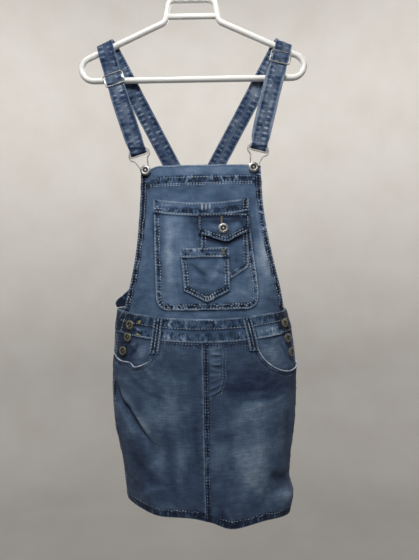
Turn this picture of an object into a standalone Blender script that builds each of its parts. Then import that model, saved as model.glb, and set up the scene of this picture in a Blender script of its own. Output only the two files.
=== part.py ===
"""A denim dungaree dress (a bib pinafore with a straight skirt) on a plastic tube hanger.

Tables and functions work in millimetres; meshes are written in metres. +Z is up, +X is the right
hand side seen from the front, and the front faces -Y. The origin is the inside top of the hanger's
hook, where a nail or a rail carries it.

The skirt and waistband are cut from one tube. A place on it is (turn, z): the turn is 0 at the
centre front, 1 at the right side, 2 at the centre back, and 3 (or -1) at the left side. The bib and
what is sewn on it are placed by (x, z) on a sheet that runs from the waist to the bib's top edge.
"""

import math
from collections import namedtuple

import bmesh
import bpy
import numpy as np
from mathutils import Vector

MM = 0.001

# Cloth
DENIM = 1.4             # one layer
FOLDED = 2.4            # bands and waistband: two or three layers sewn flat
STRAP_THICK = 2.0
STRAP_WIDTH = 30.0
GAP = 0.3               # between neighbouring solids
SEAM = 0.15             # half of that, on each side of a seam line

# Levels out from the middle of the cloth's first layer
OUTER = DENIM / 2
BAND_OUTER = FOLDED / 2
LAYER_1 = OUTER + GAP                  # large pocket on the bib
LAYER_2 = LAYER_1 + DENIM + GAP        # patch pocket on the large pocket
LAYER_3 = LAYER_2 + DENIM + GAP        # flap, and the small pocket where it lies on the patch
FACING = -OUTER - GAP - DENIM          # pocket facing, behind the front
PLACKET = FACING - GAP - DENIM         # button strip, behind the facing

# The tube of the skirt: where it is, half its width, and how far its front and back stand out
Ring = namedtuple("Ring", "level z centre half front back")
RINGS = [
    Ring("hem", -985, 17, 143, 76, 27),
    Ring("hem flare", -942, 17, 149, 76, 29),
    Ring("above the hem", -890, 13, 150, 73, 31),
    Ring("thigh", -815, 10, 162, 69, 31),
    Ring("hip", -735, 10, 166, 65, 30),
    Ring("waist seam", -660, 10, 160, 62, 28),
    Ring("waist", -615, 7, 152, 58, 25),
]
QUARTER = 186.0         # cloth from the centre front to the side, at the hip
FRONT_LEFT_EDGE = -0.89
FRONT_RIGHT_EDGE = 0.99
WAISTBAND = 38.0
FRONT_WAIST = (-630.0, 15.0)            # top edge at the centre front, and its rise to the sides
BACK_WAIST = (-606.0, -9.0)
WAIST_SLANT = -3.0                      # the right side hangs lower by this
SKIRT_LEVEL_FROM, SKIRT_LEVEL_TO = -736.0, -928.0   # rows are level between these

Hem = namedtuple("Hem", "place turn z")
HEM = [
    Hem("centre back", -2.0, -966),
    Hem("left side", -1.0, -943),
    Hem("left thigh", -0.45, -953),
    Hem("left of the seam", -0.10, -955),
    Hem("seam", 0.03, -962),
    Hem("turned-up corner", 0.18, -970),
    Hem("right thigh", 0.60, -968),
    Hem("right side", 1.0, -979),
    Hem("centre back again", 2.0, -966),
]

# Soft ridges (height above 0) and troughs, each along a line on the tube
Fold = namedtuple("Fold", "name turn_a z_a turn_b z_b width height")
FOLDS = [
    Fold("left thigh crease", -0.88, -752, -0.46, -850, 13, -5.0),
    Fold("ridge above it", -0.74, -738, -0.34, -822, 16, 3.0),
    Fold("right hem hollow", 0.62, -930, 1.0, -918, 14, -6.0),
    Fold("right hem roll", 0.66, -950, 0.99, -946, 14, 3.5),
    Fold("turned-up corner", 0.14, -940, 0.20, -975, 12, 5.0),
    Fold("hollow beside the corner", 0.03, -930, 0.05, -975, 9, -3.5),
    Fold("right thigh swell", 0.40, -790, 0.52, -880, 30, 3.0),
    Fold("left hem swell", -0.60, -900, -0.50, -960, 24, 3.5),
    Fold("left back crease", 2.78, -735, 2.35, -842, 15, -4.0),
    Fold("right back crease", 1.22, -765, 1.62, -858, 15, -4.0),
    Fold("back swell", 1.85, -900, 2.10, -960, 26, 3.0),
]
GAPES = [
    Fold("left pocket mouth", -0.86, -708, -0.52, -706, 11, 3.5),
    Fold("right pocket mouth", 0.58, -712, 0.92, -722, 11, 2.5),
]

# Pocket mouths, from the waistband to the side
Mouth = namedtuple("Mouth", "turn z")
LEFT_MOUTH = [Mouth(-0.464, -668), Mouth(-0.476, -696), Mouth(-0.496, -701), Mouth(-0.54, -705.5),
              Mouth(-0.60, -709), Mouth(-0.628, -709), Mouth(-0.655, -702), Mouth(-0.70, -701.5),
              Mouth(-0.76, -701), Mouth(-0.82, -697.5), Mouth(FRONT_LEFT_EDGE, -690)]
RIGHT_MOUTH = [Mouth(0.476, -670), Mouth(0.54, -697), Mouth(0.612, -711), Mouth(0.70, -720),
               Mouth(0.78, -724), Mouth(0.88, -722), Mouth(FRONT_RIGHT_EDGE, -714)]
FACING_DEPTH = 20.0     # what the facing runs on behind the front
PLACKET_TURNS = 0.16
PLACKET_END = -716.0
PLACKET_BELOW_WAIST = 2.0

# The bib
BibEdge = namedtuple("BibEdge", "level z left right")
BIB = [
    BibEdge("waist", -613, -126, 154),
    BibEdge("above the waist", -575, -115, 146),
    BibEdge("lower", -517, -103, 132),
    BibEdge("middle", -436, -95, 119),
    BibEdge("top", -365, -92, 116),
]
BIB_TOP = -364.0
BIB_WAIST = -628.0      # below this the bib stands as upright as the waistband
STEEPEST = 0.985        # how near to the side the bib's sheet is read
BIB_TOP_DEPTH = 27.0    # how far the top edge stands in front of the hanger
BIB_TOP_BOW = 4.0
BIB_TOP_MIDDLE, BIB_TOP_HALF = 12.0, 105.0
LEFT_CORNER_DROP = 12.0

Side = namedtuple("Side", "z left right")
POCKET_SIDES = [Side(-614, -67, 106), Side(-590, -67, 106), Side(-510, -69, 98),
                Side(-450, -70, 93), Side(-424, -70, 92)]
POCKET_BOTTOM = -614.0
POCKET_CORNER = 20.0
POCKET_CORNER_ROWS = (25, 50, 72, 90)   # degrees round the lower corners
POCKET_TOP = -424.0
POCKET_DIP = 8.0
POCKET_BAND = 22.0
PATCH_LEFT, PATCH_RIGHT = 10.0, 90.0
PATCH_TOP, PATCH_SIDE, PATCH_POINT = -458.0, -543.0, -568.0
FLAP_LEFT, FLAP_RIGHT, FLAP_TOP = 7.0, 92.0, -452.0
FLAP_LEFT_END, FLAP_RIGHT_END = -485.0, -480.0
FLAP_POINT = (53.0, -501.0)
FLAP_THICK, FLAP_LIFT = 1.8, 1.5        # its loose end stands off by the lift
SMALL_SIDES = [Side(-602, -19, 57), Side(-582, -19, 57), Side(-511, -25, 56)]
SMALL_TOP, SMALL_SIDE_END, SMALL_POINT = -511.0, -582.0, -602.0
SMALL_BAND = 15.0
STEP_FROM, STEP_TO = -8.0, 8.0         # where the small pocket climbs onto the patch

# The back yoke rises from the waist to where the straps are sewn in
YOKE = [
    Side(-613, -144, 158), Side(-603, -150, 153), Side(-589, -135, 140), Side(-570, -117, 126),
    Side(-540, -93, 107), Side(-500, -69, 82), Side(-450, -43, 48), Side(-396, -33.3, 29.3),
]
YOKE_TOP = -396.0
YOKE_TOP_DEPTH = 14.0
YOKE_FLARE = 8.0
YOKE_FLARE_FROM, YOKE_FLARE_TO = -612.0, -600.0
YOKE_STEEPEST = 0.998
YOKE_FOOT, YOKE_FOLD = -615.0, -570.0   # it leans forward from its foot; rows are closer below the fold

# Belt loops
Loop = namedtuple("Loop", "name turn_top turn_bottom z_top z_bottom")
LOOPS = [Loop("belt_loop_left", -0.405, -0.445, -627, -686),
         Loop("belt_loop_right", 0.435, 0.465, -629, -684)]
LOOP_WIDTH = 15.0

# The hanger: half of its outline, mirrored; the tube's middle line
Corner = namedtuple("Corner", "name x z radius")
HANGER = [
    Corner("handle top", 41.3, -57, 13),
    Corner("neck", 48, -96.5, 15),
    Corner("end, upper", 201.5, -166.5, 22),
    Corner("end, lower", 201.5, -201, 22),
]
TUBE = 5.3
CROSSBAR_Z, CROSSBAR_HALF = -87.0, 46.5
CROSSBAR_TUBE = 4.8
HOOK_TUBE = 4.5
HOOK_INSIDE = 20.0
NECK_BEND = 12.0        # above the handle, where the hook's neck turns upright
HOOK_TIP, HOOK_TURN = 205.0, -42.0     # degrees round the hook, from its tip to its neck

# Straps and their metal
Strap = namedtuple("Strap", "side bar_x slide_x slide_z keeper_x keeper_z yoke_x button_x button_z drift")
STRAPS = [Strap("left", -156, -140.5, -204, -96.2, -341, -20.5, -84, -373, -1.5),
          Strap("right", 163, 157.5, -168, 113, -336, 16.5, 103, -370.5, -4.0)]
FOLD_WIDTH = 27.6       # the strap is squeezed where it folds round the keeper
PERCH = 5.0             # the stiff fold stands this far above the hanger's bar
BACK_SHIFT = 8.0        # the back ply leaves the bar nearer to the middle
WRAP = TUBE + 2 * GAP + STRAP_THICK / 2
WIRE, THIN_WIRE = 1.1, 1.0
PLY = WIRE + GAP + 0.1 + STRAP_THICK / 2    # a wire's middle to the middle of the ply round it
PLY_PAIR = STRAP_THICK / 2 + GAP / 2 + 0.1  # half the way between two plies that lie together
SLIDE_HALF_WIDTH, SLIDE_HALF_HEIGHT, SLIDE_CORNER = 18.0, 11.0, 3.5
KEEPER_HALF_WIDTH, KEEPER_DROP, KEEPER_FORWARD = 15.5, 6.8, 2.8
KEEPER_CORNER, KEEPER_BEHIND = 1.8, 2.0     # its upper bar lies this far behind the hook's plane
SEWN_END = 3.0                              # the strap's end, above the slide's middle
LAP_JOINED = 30.0                           # below the slide the plies lie together from here on
LOOP_JOINED, LOOP_OPEN = 24.0, 9.0          # and they part again above the keeper
SHORT_RUN = 20.0                            # a ply shorter than this needs no point of its own

# The wire hook, half of it: across from its middle and down from the keeper's upper bar
HookPoint = namedtuple("HookPoint", "across down radius")
HOOK_OUTLINE = [HookPoint(14.0, -6.0, 3), HookPoint(18.2, 1.0, 3), HookPoint(18.2, 8.0, 2.5),
                HookPoint(11.0, 13.5, 3)]
SHANK, SIDE_SHANK = 2.6, 2.1
HOOK_END = SHANK + 3 * GAP + WIRE
HOOK_END_CORNER = 0.98 * HOOK_END
HOOK_LIFT = OUTER + 3 * GAP + WIRE          # the hook's middle above the bib

# Buttons
BIB_BUTTON, SIDE_BUTTON = 9.0, 7.8
SideButton = namedtuple("SideButton", "name x z seat")
SIDE_BUTTONS = [
    SideButton("side_button_left_1", -114, -639, BAND_OUTER),
    SideButton("side_button_left_2", -118, -660, FACING + DENIM),
    SideButton("side_button_left_3", -127, -684, FACING + DENIM),
    SideButton("side_button_right_1", 152, -642, BAND_OUTER),
    SideButton("side_button_right_2", 156.5, -668, FACING + DENIM),
    SideButton("side_button_right_3", 163, -693, FACING + DENIM),
]
FLAP_BUTTON = (48.0, -478.0)
BUTTON_FACE = [(0.96, 0.0), (1.0, 0.7), (0.93, 1.5), (0.72, 2.2), (0.55, 2.0), (0.40, 1.1),
               (0.20, 1.3), (0.0, 1.4)]     # radius as a share, height above the head's underside

# Colours: (red, green, blue), roughness, metallic
FINISHES = {
    "bib_denim": ((0.115, 0.175, 0.270), 0.85, 0.0),
    "skirt_denim": ((0.060, 0.100, 0.170), 0.85, 0.0),
    "dark_denim": ((0.030, 0.042, 0.075), 0.85, 0.0),
    "strap_denim": ((0.100, 0.140, 0.230), 0.85, 0.0),
    "white_plastic": ((0.75, 0.74, 0.71), 0.30, 0.0),
    "nickel": ((0.62, 0.60, 0.56), 0.30, 1.0),
}


# ---------------------------------------------------------------- meshes

def clear_scene():
    for thing in list(bpy.data.objects):
        bpy.data.objects.remove(thing, do_unlink=True)


def finish(slot):
    """The material of a slot, made the first time that it is asked for."""
    if slot in bpy.data.materials:
        return bpy.data.materials[slot]
    colour, roughness, metallic = FINISHES[slot]
    material = bpy.data.materials.new(slot)
    material.use_nodes = True
    shader = material.node_tree.nodes["Principled BSDF"]
    shader.inputs["Base Color"].default_value = (*colour, 1.0)
    shader.inputs["Roughness"].default_value = roughness
    shader.inputs["Metallic"].default_value = metallic
    return material


def add_object(name, points, faces, slot, smooth_angle=40.0):
    """A closed mesh object from points in millimetres, with its faces pointing out."""
    mesh = bpy.data.meshes.new(name)
    mesh.from_pydata([tuple(component * MM for component in point) for point in points], [], faces)
    work = bmesh.new()
    work.from_mesh(mesh)
    bmesh.ops.remove_doubles(work, verts=work.verts, dist=0.00001)
    bmesh.ops.recalc_face_normals(work, faces=work.faces)
    work.to_mesh(mesh)
    work.free()
    mesh.shade_smooth()
    mesh.set_sharp_from_angle(angle=math.radians(smooth_angle))
    mesh.materials.append(finish(slot))
    thing = bpy.data.objects.new(name, mesh)
    bpy.context.collection.objects.link(thing)
    return thing


def grid_faces(rows, columns, first, flip):
    """Quads over a grid of points that starts at index first."""
    faces = []
    for row in range(rows - 1):
        for column in range(columns - 1):
            a = first + row * columns + column
            quad = (a, a + 1, a + 1 + columns, a + columns)
            faces.append(quad[::-1] if flip else quad)
    return faces


def wall(name, outer, inner, slot):
    """A closed wall between two grids of points of the same size."""
    rows, columns = len(outer), len(outer[0])
    count = rows * columns
    points = [point for row in outer for point in row] + [point for row in inner for point in row]
    faces = grid_faces(rows, columns, 0, False) + grid_faces(rows, columns, count, True)
    rim = [column for column in range(columns)]
    rim += [row * columns + columns - 1 for row in range(1, rows)]
    rim += [(rows - 1) * columns + column for column in range(columns - 2, -1, -1)]
    rim += [row * columns for row in range(rows - 2, 0, -1)]
    for a, b in zip(rim, rim[1:] + rim[:1]):
        faces.append((a, b, b + count, a + count))
    return add_object(name, points, faces, slot)


def lifted(surface, p, q, out, p_step):
    """The point a distance out from a surface, along its own normal."""
    across = surface(p + p_step, q) - surface(p - p_step, q)
    up = surface(p, q + 0.5) - surface(p, q - 0.5)
    return surface(p, q) + across.cross(up).normalized() * out


def panel(name, cells, surface, inner, thickness, slot, p_step):
    """A wall of cloth over cells of (p, q) places on a surface; inner may vary from place to place."""
    level = inner if callable(inner) else lambda p, q: inner
    lower = [[lifted(surface, p, q, level(p, q), p_step) for p, q in row] for row in cells]
    upper = [[lifted(surface, p, q, level(p, q) + thickness, p_step) for p, q in row] for row in cells]
    return wall(name, upper, lower, slot)


def tube(name, path, radius, slot, sides=12, closed=False):
    """A round tube along a path in millimetres, with flat ends unless it is closed."""
    path = [Vector(point) for point in path]
    count = len(path)
    points = []
    across = None
    for index, point in enumerate(path):
        before = path[index - 1] if closed or index else point
        after = path[(index + 1) % count] if closed or index < count - 1 else point
        along = (after - before).normalized()
        if across is None:
            across = along.cross(Vector((0, 1, 0))).normalized()
        across = (across - along * across.dot(along)).normalized()
        over = along.cross(across)
        for step in range(sides):
            angle = 2 * math.pi * step / sides
            points.append(point + (across * math.cos(angle) + over * math.sin(angle)) * radius)
    faces = []
    for index in range(count if closed else count - 1):
        here, there = index * sides, ((index + 1) % count) * sides
        for step in range(sides):
            beyond = (step + 1) % sides
            faces.append((here + step, here + beyond, there + beyond, there + step))
    if not closed:
        faces.append(tuple(range(sides))[::-1])
        faces.append(tuple(range((count - 1) * sides, count * sides)))
    return add_object(name, points, faces, slot)


def weld(target, others):
    """Join round bars into one body; the joined bars stay behind as hidden guides."""
    for other in others:
        joint = target.modifiers.new("join " + other.name, "BOOLEAN")
        joint.operation = "UNION"
        joint.object = other
        other.hide_render = True
        other.display_type = "WIRE"


def rounded(corners, closed, steps=5):
    """A path through corners of (point, radius), each rounded by an arc."""
    path = []
    for index, (corner, radius) in enumerate(corners):
        corner = Vector(corner)
        if not closed and index in (0, len(corners) - 1):
            path.append(corner)
            continue
        before = Vector(corners[index - 1][0]) - corner
        after = Vector(corners[(index + 1) % len(corners)][0]) - corner
        half = before.angle(after) / 2
        reach = radius / math.tan(half)
        start = corner + before.normalized() * reach
        end = corner + after.normalized() * reach
        middle = corner + (before.normalized() + after.normalized()).normalized() * radius / math.sin(half)
        sweep = math.pi - 2 * half
        for step in range(steps + 1):
            part = step / steps
            share_a = math.sin((1 - part) * sweep) / math.sin(sweep)
            share_b = math.sin(part * sweep) / math.sin(sweep)
            path.append(middle + (start - middle) * share_a + (end - middle) * share_b)
    return path


# ---------------------------------------------------------------- the tube of the skirt

def read_table(rows, key, name, at):
    """One column of a table, as a smooth curve over its key column."""
    keys = np.array([getattr(row, key) for row in rows], float)
    values = np.array([getattr(row, name) for row in rows], float)
    if keys[0] > keys[-1]:
        keys, values = keys[::-1], values[::-1]
    slopes = np.gradient(values, keys)
    index = int(np.clip(np.searchsorted(keys, at) - 1, 0, len(keys) - 2))
    span = keys[index + 1] - keys[index]
    t = float(np.clip((at - keys[index]) / span, 0.0, 1.0))
    start = (2 * t ** 3 - 3 * t ** 2 + 1) * values[index] + (t ** 3 - 2 * t ** 2 + t) * span * slopes[index]
    end = (3 * t ** 2 - 2 * t ** 3) * values[index + 1] + (t ** 3 - t ** 2) * span * slopes[index + 1]
    return float(start + end)


def ease(low, high, value):
    """0 up to low, 1 from high on, and a soft step between them."""
    t = min(max((value - low) / (high - low), 0.0), 1.0)
    return t * t * (3 - 2 * t)


def even_quarter(half, depth, samples=90):
    """Shares of a quarter ellipse's length, from the middle of the face to the side."""
    angles = np.linspace(0, math.pi / 2, samples + 1)
    x, y = half * np.sin(angles), depth * np.cos(angles)
    lengths = np.concatenate([[0.0], np.cumsum(np.hypot(np.diff(x), np.diff(y)))])
    return lengths / lengths[-1], angles


HIP = next(ring for ring in RINGS if ring.level == "hip")
WAIST = RINGS[-1]
FRONT_SHARE, ANGLES = even_quarter(HIP.half, HIP.front)
BACK_SHARE, _ = even_quarter(HIP.half, HIP.back)


def near_turn(turn):
    """The same place with a turn between -2 and 2."""
    return turn - 4 if turn > 2 else turn


def angle_at(turn):
    turn = near_turn(turn)
    side = abs(turn)
    if side <= 1:
        angle = float(np.interp(side, FRONT_SHARE, ANGLES))
    else:
        angle = math.pi - float(np.interp(2 - side, BACK_SHARE, ANGLES))
    return math.copysign(angle, turn)


def turn_at(x, z):
    """The turn of a place on the front, from its x."""
    share = (x - read_table(RINGS, "z", "centre", z)) / read_table(RINGS, "z", "half", z)
    angle = math.asin(min(max(share, -1.0), 1.0))
    return math.copysign(float(np.interp(abs(angle), ANGLES, FRONT_SHARE)), angle)


def fold_height(folds, turn, z):
    """How far the folds push a place out."""
    height = 0.0
    for fold in folds:
        here = turn + 4 if turn < 0 < fold.turn_a and fold.turn_a > 1 else turn
        run = Vector(((fold.turn_b - fold.turn_a) * QUARTER, fold.z_b - fold.z_a))
        way = Vector(((here - fold.turn_a) * QUARTER, z - fold.z_a))
        part = min(max(way.dot(run) / run.length_squared, 0.0), 1.0)
        height += fold.height * math.exp(-((way - run * part).length / fold.width) ** 2)
    return height


def tube_shape(turn, z, height=0.0):
    angle = angle_at(turn)
    ring = {name: read_table(RINGS, "z", name, z) for name in ("centre", "half", "front", "back")}
    depth = ring["front"] if math.cos(angle) > 0 else ring["back"]
    x, y = math.sin(angle), -math.cos(angle)
    out = Vector((x / ring["half"], y / depth, 0)).normalized()
    return Vector((ring["centre"] + ring["half"] * x, depth * y, z)) + out * height


def body(turn, z):
    """The middle of the skirt's cloth."""
    return tube_shape(turn, z, fold_height(FOLDS, turn, z))


def straight_seam(turn, z):
    """The front's columns hang straight down from the hip, where the tube's middle drifts aside."""
    drift = (HIP.centre - read_table(RINGS, "z", "centre", z)) / QUARTER
    edge = FRONT_LEFT_EDGE if turn < 0 else FRONT_RIGHT_EDGE
    return turn + drift * (1 - turn / edge)


def skirt_front(turn, z):
    """The same with the front's pocket mouths standing open."""
    turn = straight_seam(turn, z)
    return tube_shape(turn, z, fold_height(FOLDS, turn, z) + fold_height(GAPES, turn, z))


def waist_line(middle, rise, share):
    """Height of the waist's edge, a share of the way from the middle to the side."""
    return middle + rise * share ** 2 + WAIST_SLANT * share


def waist_top(turn):
    """Top edge of the waistband: it dips at the centre front and rises at the centre back."""
    on_front = abs(near_turn(turn)) <= 1
    return waist_line(*(FRONT_WAIST if on_front else BACK_WAIST), math.sin(angle_at(turn)))


def waist_seam(turn):
    return waist_top(turn) - WAISTBAND


def hem(turn):
    return read_table(HEM, "turn", "z", near_turn(turn))


def front_hem(turn):
    return hem(straight_seam(turn, hem(turn)))


def tube_cells(turns, top, bottom, rows):
    """Cells between two edges that vary with the turn."""
    return [[(turn, top(turn) + (bottom(turn) - top(turn)) * row / rows) for turn in turns]
            for row in range(rows + 1)]


def skirt_cells(turns, top, bottom):
    """Cells of a skirt panel: its rows are level below the pocket mouths and above the hem."""
    levels = np.linspace(SKIRT_LEVEL_FROM, SKIRT_LEVEL_TO, 13)
    columns = []
    for turn in turns:
        upper = np.linspace(top(turn), levels[0], 4)[:-1]
        lower = np.linspace(levels[-1], bottom(turn), 4)[1:]
        columns.append([(turn, z) for z in (*upper, *levels, *lower)])
    return list(zip(*columns))


def tube_panel(name, cells, inner, thickness, slot, surface=body):
    return panel(name, cells, surface, inner, thickness, slot, 0.002)


TURN_SEAM = SEAM / QUARTER


def mouth_edge(mouth):
    """Top edge of a front: the waist seam, and then the pocket mouth."""
    def edge(turn):
        start = mouth[0].turn
        if abs(turn) <= abs(start):
            return waist_seam(turn) - GAP
        return read_table(mouth, "turn", "z", turn) - GAP
    return edge


def placket_turns(edge):
    return np.linspace(edge - math.copysign(PLACKET_TURNS, edge), edge, 5)


def facing_turns(mouth):
    """Columns from just inside a pocket mouth to the side; the front and the placket share them."""
    start, dropped = mouth[0].turn, mouth[1].turn
    over_placket = placket_turns(mouth[-1].turn)
    along = [corner.turn for corner in mouth[1:] if abs(corner.turn) < abs(over_placket[0]) - 0.01]
    return np.concatenate([[start * 0.93, start, (start + dropped) / 2], along, over_placket])


def make_fronts():
    for name, mouth in (("skirt_front_left", LEFT_MOUTH), ("skirt_front_right", RIGHT_MOUTH)):
        outer = facing_turns(mouth)
        inner = np.linspace(math.copysign(TURN_SEAM, outer[0]), outer[0], 6)[:-1]
        cells = skirt_cells(np.concatenate([inner, outer]), mouth_edge(mouth), front_hem)
        tube_panel(name, cells, -OUTER, DENIM, "skirt_denim", skirt_front)


def make_facings():
    for name, mouth in (("pocket_facing_left", LEFT_MOUTH), ("pocket_facing_right", RIGHT_MOUTH)):

        def lower(turn, mouth=mouth):
            at = max(abs(turn), abs(mouth[1].turn))
            return read_table(mouth, "turn", "z", math.copysign(at, turn)) - FACING_DEPTH

        cells = tube_cells(facing_turns(mouth), lambda turn: waist_seam(turn) - GAP, lower, 4)
        tube_panel(name, cells, FACING, DENIM, "skirt_denim")


def make_plackets():
    for name, edge in (("placket_left", FRONT_LEFT_EDGE), ("placket_right", FRONT_RIGHT_EDGE)):
        cells = tube_cells(placket_turns(edge), lambda turn: waist_top(turn) - PLACKET_BELOW_WAIST,
                           lambda turn: PLACKET_END, 7)
        tube_panel(name, cells, PLACKET, DENIM, "dark_denim")


def make_waistband():
    front = np.linspace(FRONT_LEFT_EDGE, FRONT_RIGHT_EDGE, 25)
    back = np.linspace(FRONT_RIGHT_EDGE + 2 * TURN_SEAM, 4 + FRONT_LEFT_EDGE - 2 * TURN_SEAM, 25)
    for name, turns in (("waistband_front", front), ("waistband_back", back)):
        tube_panel(name, tube_cells(turns, waist_top, waist_seam, 3), -BAND_OUTER, FOLDED, "bib_denim")


def make_backs():
    right = np.linspace(FRONT_RIGHT_EDGE + 2 * TURN_SEAM, 2 - TURN_SEAM, 11)
    left = np.linspace(2 + TURN_SEAM, 4 + FRONT_LEFT_EDGE - 2 * TURN_SEAM, 12)
    for name, turns in (("skirt_back_right", right), ("skirt_back_left", left)):
        tube_panel(name, skirt_cells(turns, lambda turn: waist_seam(turn) - GAP, hem),
                   -OUTER, DENIM, "skirt_denim")


def make_belt_loops():
    half = LOOP_WIDTH / 2 / QUARTER
    for loop in LOOPS:
        cells = []
        for row in range(5):
            part = row / 4
            middle = loop.turn_top + (loop.turn_bottom - loop.turn_top) * part
            z = loop.z_top + (loop.z_bottom - loop.z_top) * part
            cells.append([(middle - half, z), (middle, z), (middle + half, z)])
        tube_panel(loop.name, cells, BAND_OUTER + GAP, DENIM, "bib_denim")


# ---------------------------------------------------------------- the bib

def bib_depth(x, z):
    """y of the bib's cloth: round at the waist, nearly flat at the top edge."""
    share = min(abs(x - WAIST.centre) / WAIST.half, STEEPEST)
    at_waist = -WAIST.front * math.sqrt(1 - share ** 2)
    top_share = min(abs(x - BIB_TOP_MIDDLE) / BIB_TOP_HALF, 1.0)
    at_top = -BIB_TOP_DEPTH - BIB_TOP_BOW * (1 - top_share ** 2)
    part = min(max((z - BIB_WAIST) / (BIB_TOP - BIB_WAIST), 0.0), 1.0)
    return at_waist + (at_top - at_waist) * part


def bib_sheet(x, z):
    return Vector((x, bib_depth(x, z), z))


def bib_panel(name, cells, inner, thickness, slot="bib_denim"):
    return panel(name, cells, bib_sheet, inner, thickness, slot, 0.5)


def between_sides(sides, columns, rows, top, bottom):
    """Cells from a top edge to a bottom edge, both given over a share across, between two sides."""
    cells = []
    for row in range(rows + 1):
        line = []
        for column in range(columns + 1):
            share = column / columns
            z = top(share) + (bottom(share) - top(share)) * row / rows
            left, right = read_table(sides, "z", "left", z), read_table(sides, "z", "right", z)
            line.append((left + (right - left) * share, z))
        cells.append(line)
    return cells


def make_bib():
    def top(share):
        return BIB_TOP - LEFT_CORNER_DROP * ease(0.14, 0.0, share) - 2 * ease(0.85, 1.0, share)

    def bottom(share):
        x = BIB[0].left + (BIB[0].right - BIB[0].left) * share
        return waist_top(turn_at(x, WAIST.z)) + GAP

    bib_panel("bib", between_sides(BIB, 16, 14, top, bottom), -OUTER, DENIM)


def pocket_top(share):
    return POCKET_TOP - POCKET_DIP * (1 - (2 * share - 1) ** 2)


def make_large_pocket():
    """A band, and the panel below it, whose rows narrow round the lower corners."""
    columns = 12
    band = between_sides(POCKET_SIDES, columns, 2, pocket_top,
                         lambda share: pocket_top(share) - POCKET_BAND)
    bib_panel("pocket_large_band", band, LAYER_1, FOLDED)
    straight_end = POCKET_BOTTOM + POCKET_CORNER
    cells = between_sides(POCKET_SIDES, columns, 8, lambda share: pocket_top(share) - POCKET_BAND - GAP,
                          lambda share: straight_end)
    for angle in np.radians(POCKET_CORNER_ROWS):
        z = straight_end - POCKET_CORNER * math.sin(angle)
        narrow = POCKET_CORNER * (1 - math.cos(angle))
        left = read_table(POCKET_SIDES, "z", "left", z) + narrow
        right = read_table(POCKET_SIDES, "z", "right", z) - narrow
        cells.append([(x, z) for x in np.linspace(left, right, columns + 1)])
    bib_panel("pocket_large", cells, LAYER_1, DENIM)


def flap_level(x, z):
    """The underside of the flap: sewn down at its top, and standing off towards its point."""
    return LAYER_3 + FLAP_LIFT * (1 - ease(FLAP_POINT[1], FLAP_TOP - 5, z))


def make_patch_and_flap():
    patch_sides = [Side(PATCH_POINT, PATCH_LEFT, PATCH_RIGHT), Side(PATCH_TOP, PATCH_LEFT, PATCH_RIGHT)]
    patch = between_sides(patch_sides, 8, 6, lambda share: PATCH_TOP,
                          lambda share: PATCH_POINT + (PATCH_SIDE - PATCH_POINT) * abs(2 * share - 1))
    bib_panel("patch_pocket", patch, LAYER_2, DENIM)
    flap_sides = [Side(FLAP_POINT[1], FLAP_LEFT, FLAP_RIGHT), Side(FLAP_TOP, FLAP_LEFT, FLAP_RIGHT)]
    point_share = (FLAP_POINT[0] - FLAP_LEFT) / (FLAP_RIGHT - FLAP_LEFT)

    def flap_end(share):
        if share < point_share:
            return FLAP_LEFT_END + (FLAP_POINT[1] - FLAP_LEFT_END) * share / point_share
        return FLAP_POINT[1] + (FLAP_RIGHT_END - FLAP_POINT[1]) * (share - point_share) / (1 - point_share)

    flap = between_sides(flap_sides, 11, 4, lambda share: FLAP_TOP, flap_end)
    bib_panel("pocket_flap", flap, flap_level, FLAP_THICK, "dark_denim")


def make_small_pocket():
    def level(x, z):
        return LAYER_2 + (LAYER_3 - LAYER_2) * ease(STEP_FROM, STEP_TO, x)

    def side_end(share):
        return SMALL_POINT + (SMALL_SIDE_END - SMALL_POINT) * abs(2 * share - 1)

    band = between_sides(SMALL_SIDES, 8, 1, lambda share: SMALL_TOP,
                         lambda share: SMALL_TOP - SMALL_BAND)
    bib_panel("pocket_small_band", band, level, FOLDED)
    lower = between_sides(SMALL_SIDES, 8, 5, lambda share: SMALL_TOP - SMALL_BAND - GAP, side_end)
    bib_panel("pocket_small", lower, level, DENIM)


# ---------------------------------------------------------------- the back yoke

def yoke_sheet(leftward, z):
    """The yoke's cloth, with its place counted to the left, so that its normal points back."""
    x = -leftward
    half = WAIST.half + YOKE_FLARE * ease(YOKE_FLARE_FROM, YOKE_FLARE_TO, z)
    share = min(abs(x - WAIST.centre) / half, YOKE_STEEPEST)
    at_waist = WAIST.back * math.sqrt(1 - share ** 2)
    part = min(max((z - YOKE_FOOT) / (YOKE_TOP - YOKE_FOOT), 0.0), 1.0)
    return Vector((x, at_waist + (YOKE_TOP_DEPTH - at_waist) * part, z))


def make_yoke():
    def bottom(share):
        x = YOKE[0].left + (YOKE[0].right - YOKE[0].left) * share
        return waist_line(*BACK_WAIST, (x - WAIST.centre) / WAIST.half) + 2 * GAP

    cells = between_sides(YOKE, 14, 9, lambda share: YOKE_TOP, lambda share: YOKE_FOLD)
    cells += between_sides(YOKE, 14, 5, lambda share: YOKE_FOLD, bottom)[1:]
    flipped = [[(-x, z) for x, z in reversed(row)] for row in cells]
    panel("back_yoke", flipped, yoke_sheet, -OUTER, DENIM, "bib_denim", 0.5)


# ---------------------------------------------------------------- straps and their metal

Station = namedtuple("Station", "point across half")


def tilted(angle):
    """A direction across a strap: level, turned by an angle in the plane of the front."""
    return Vector((math.cos(angle), 0, math.sin(angle)))


def bar_height(x):
    """The middle of the hanger's sloping bar."""
    neck, end = HANGER[1], HANGER[2]
    return neck.z + (end.z - neck.z) * (abs(x) - neck.x) / (end.x - neck.x)


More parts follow.
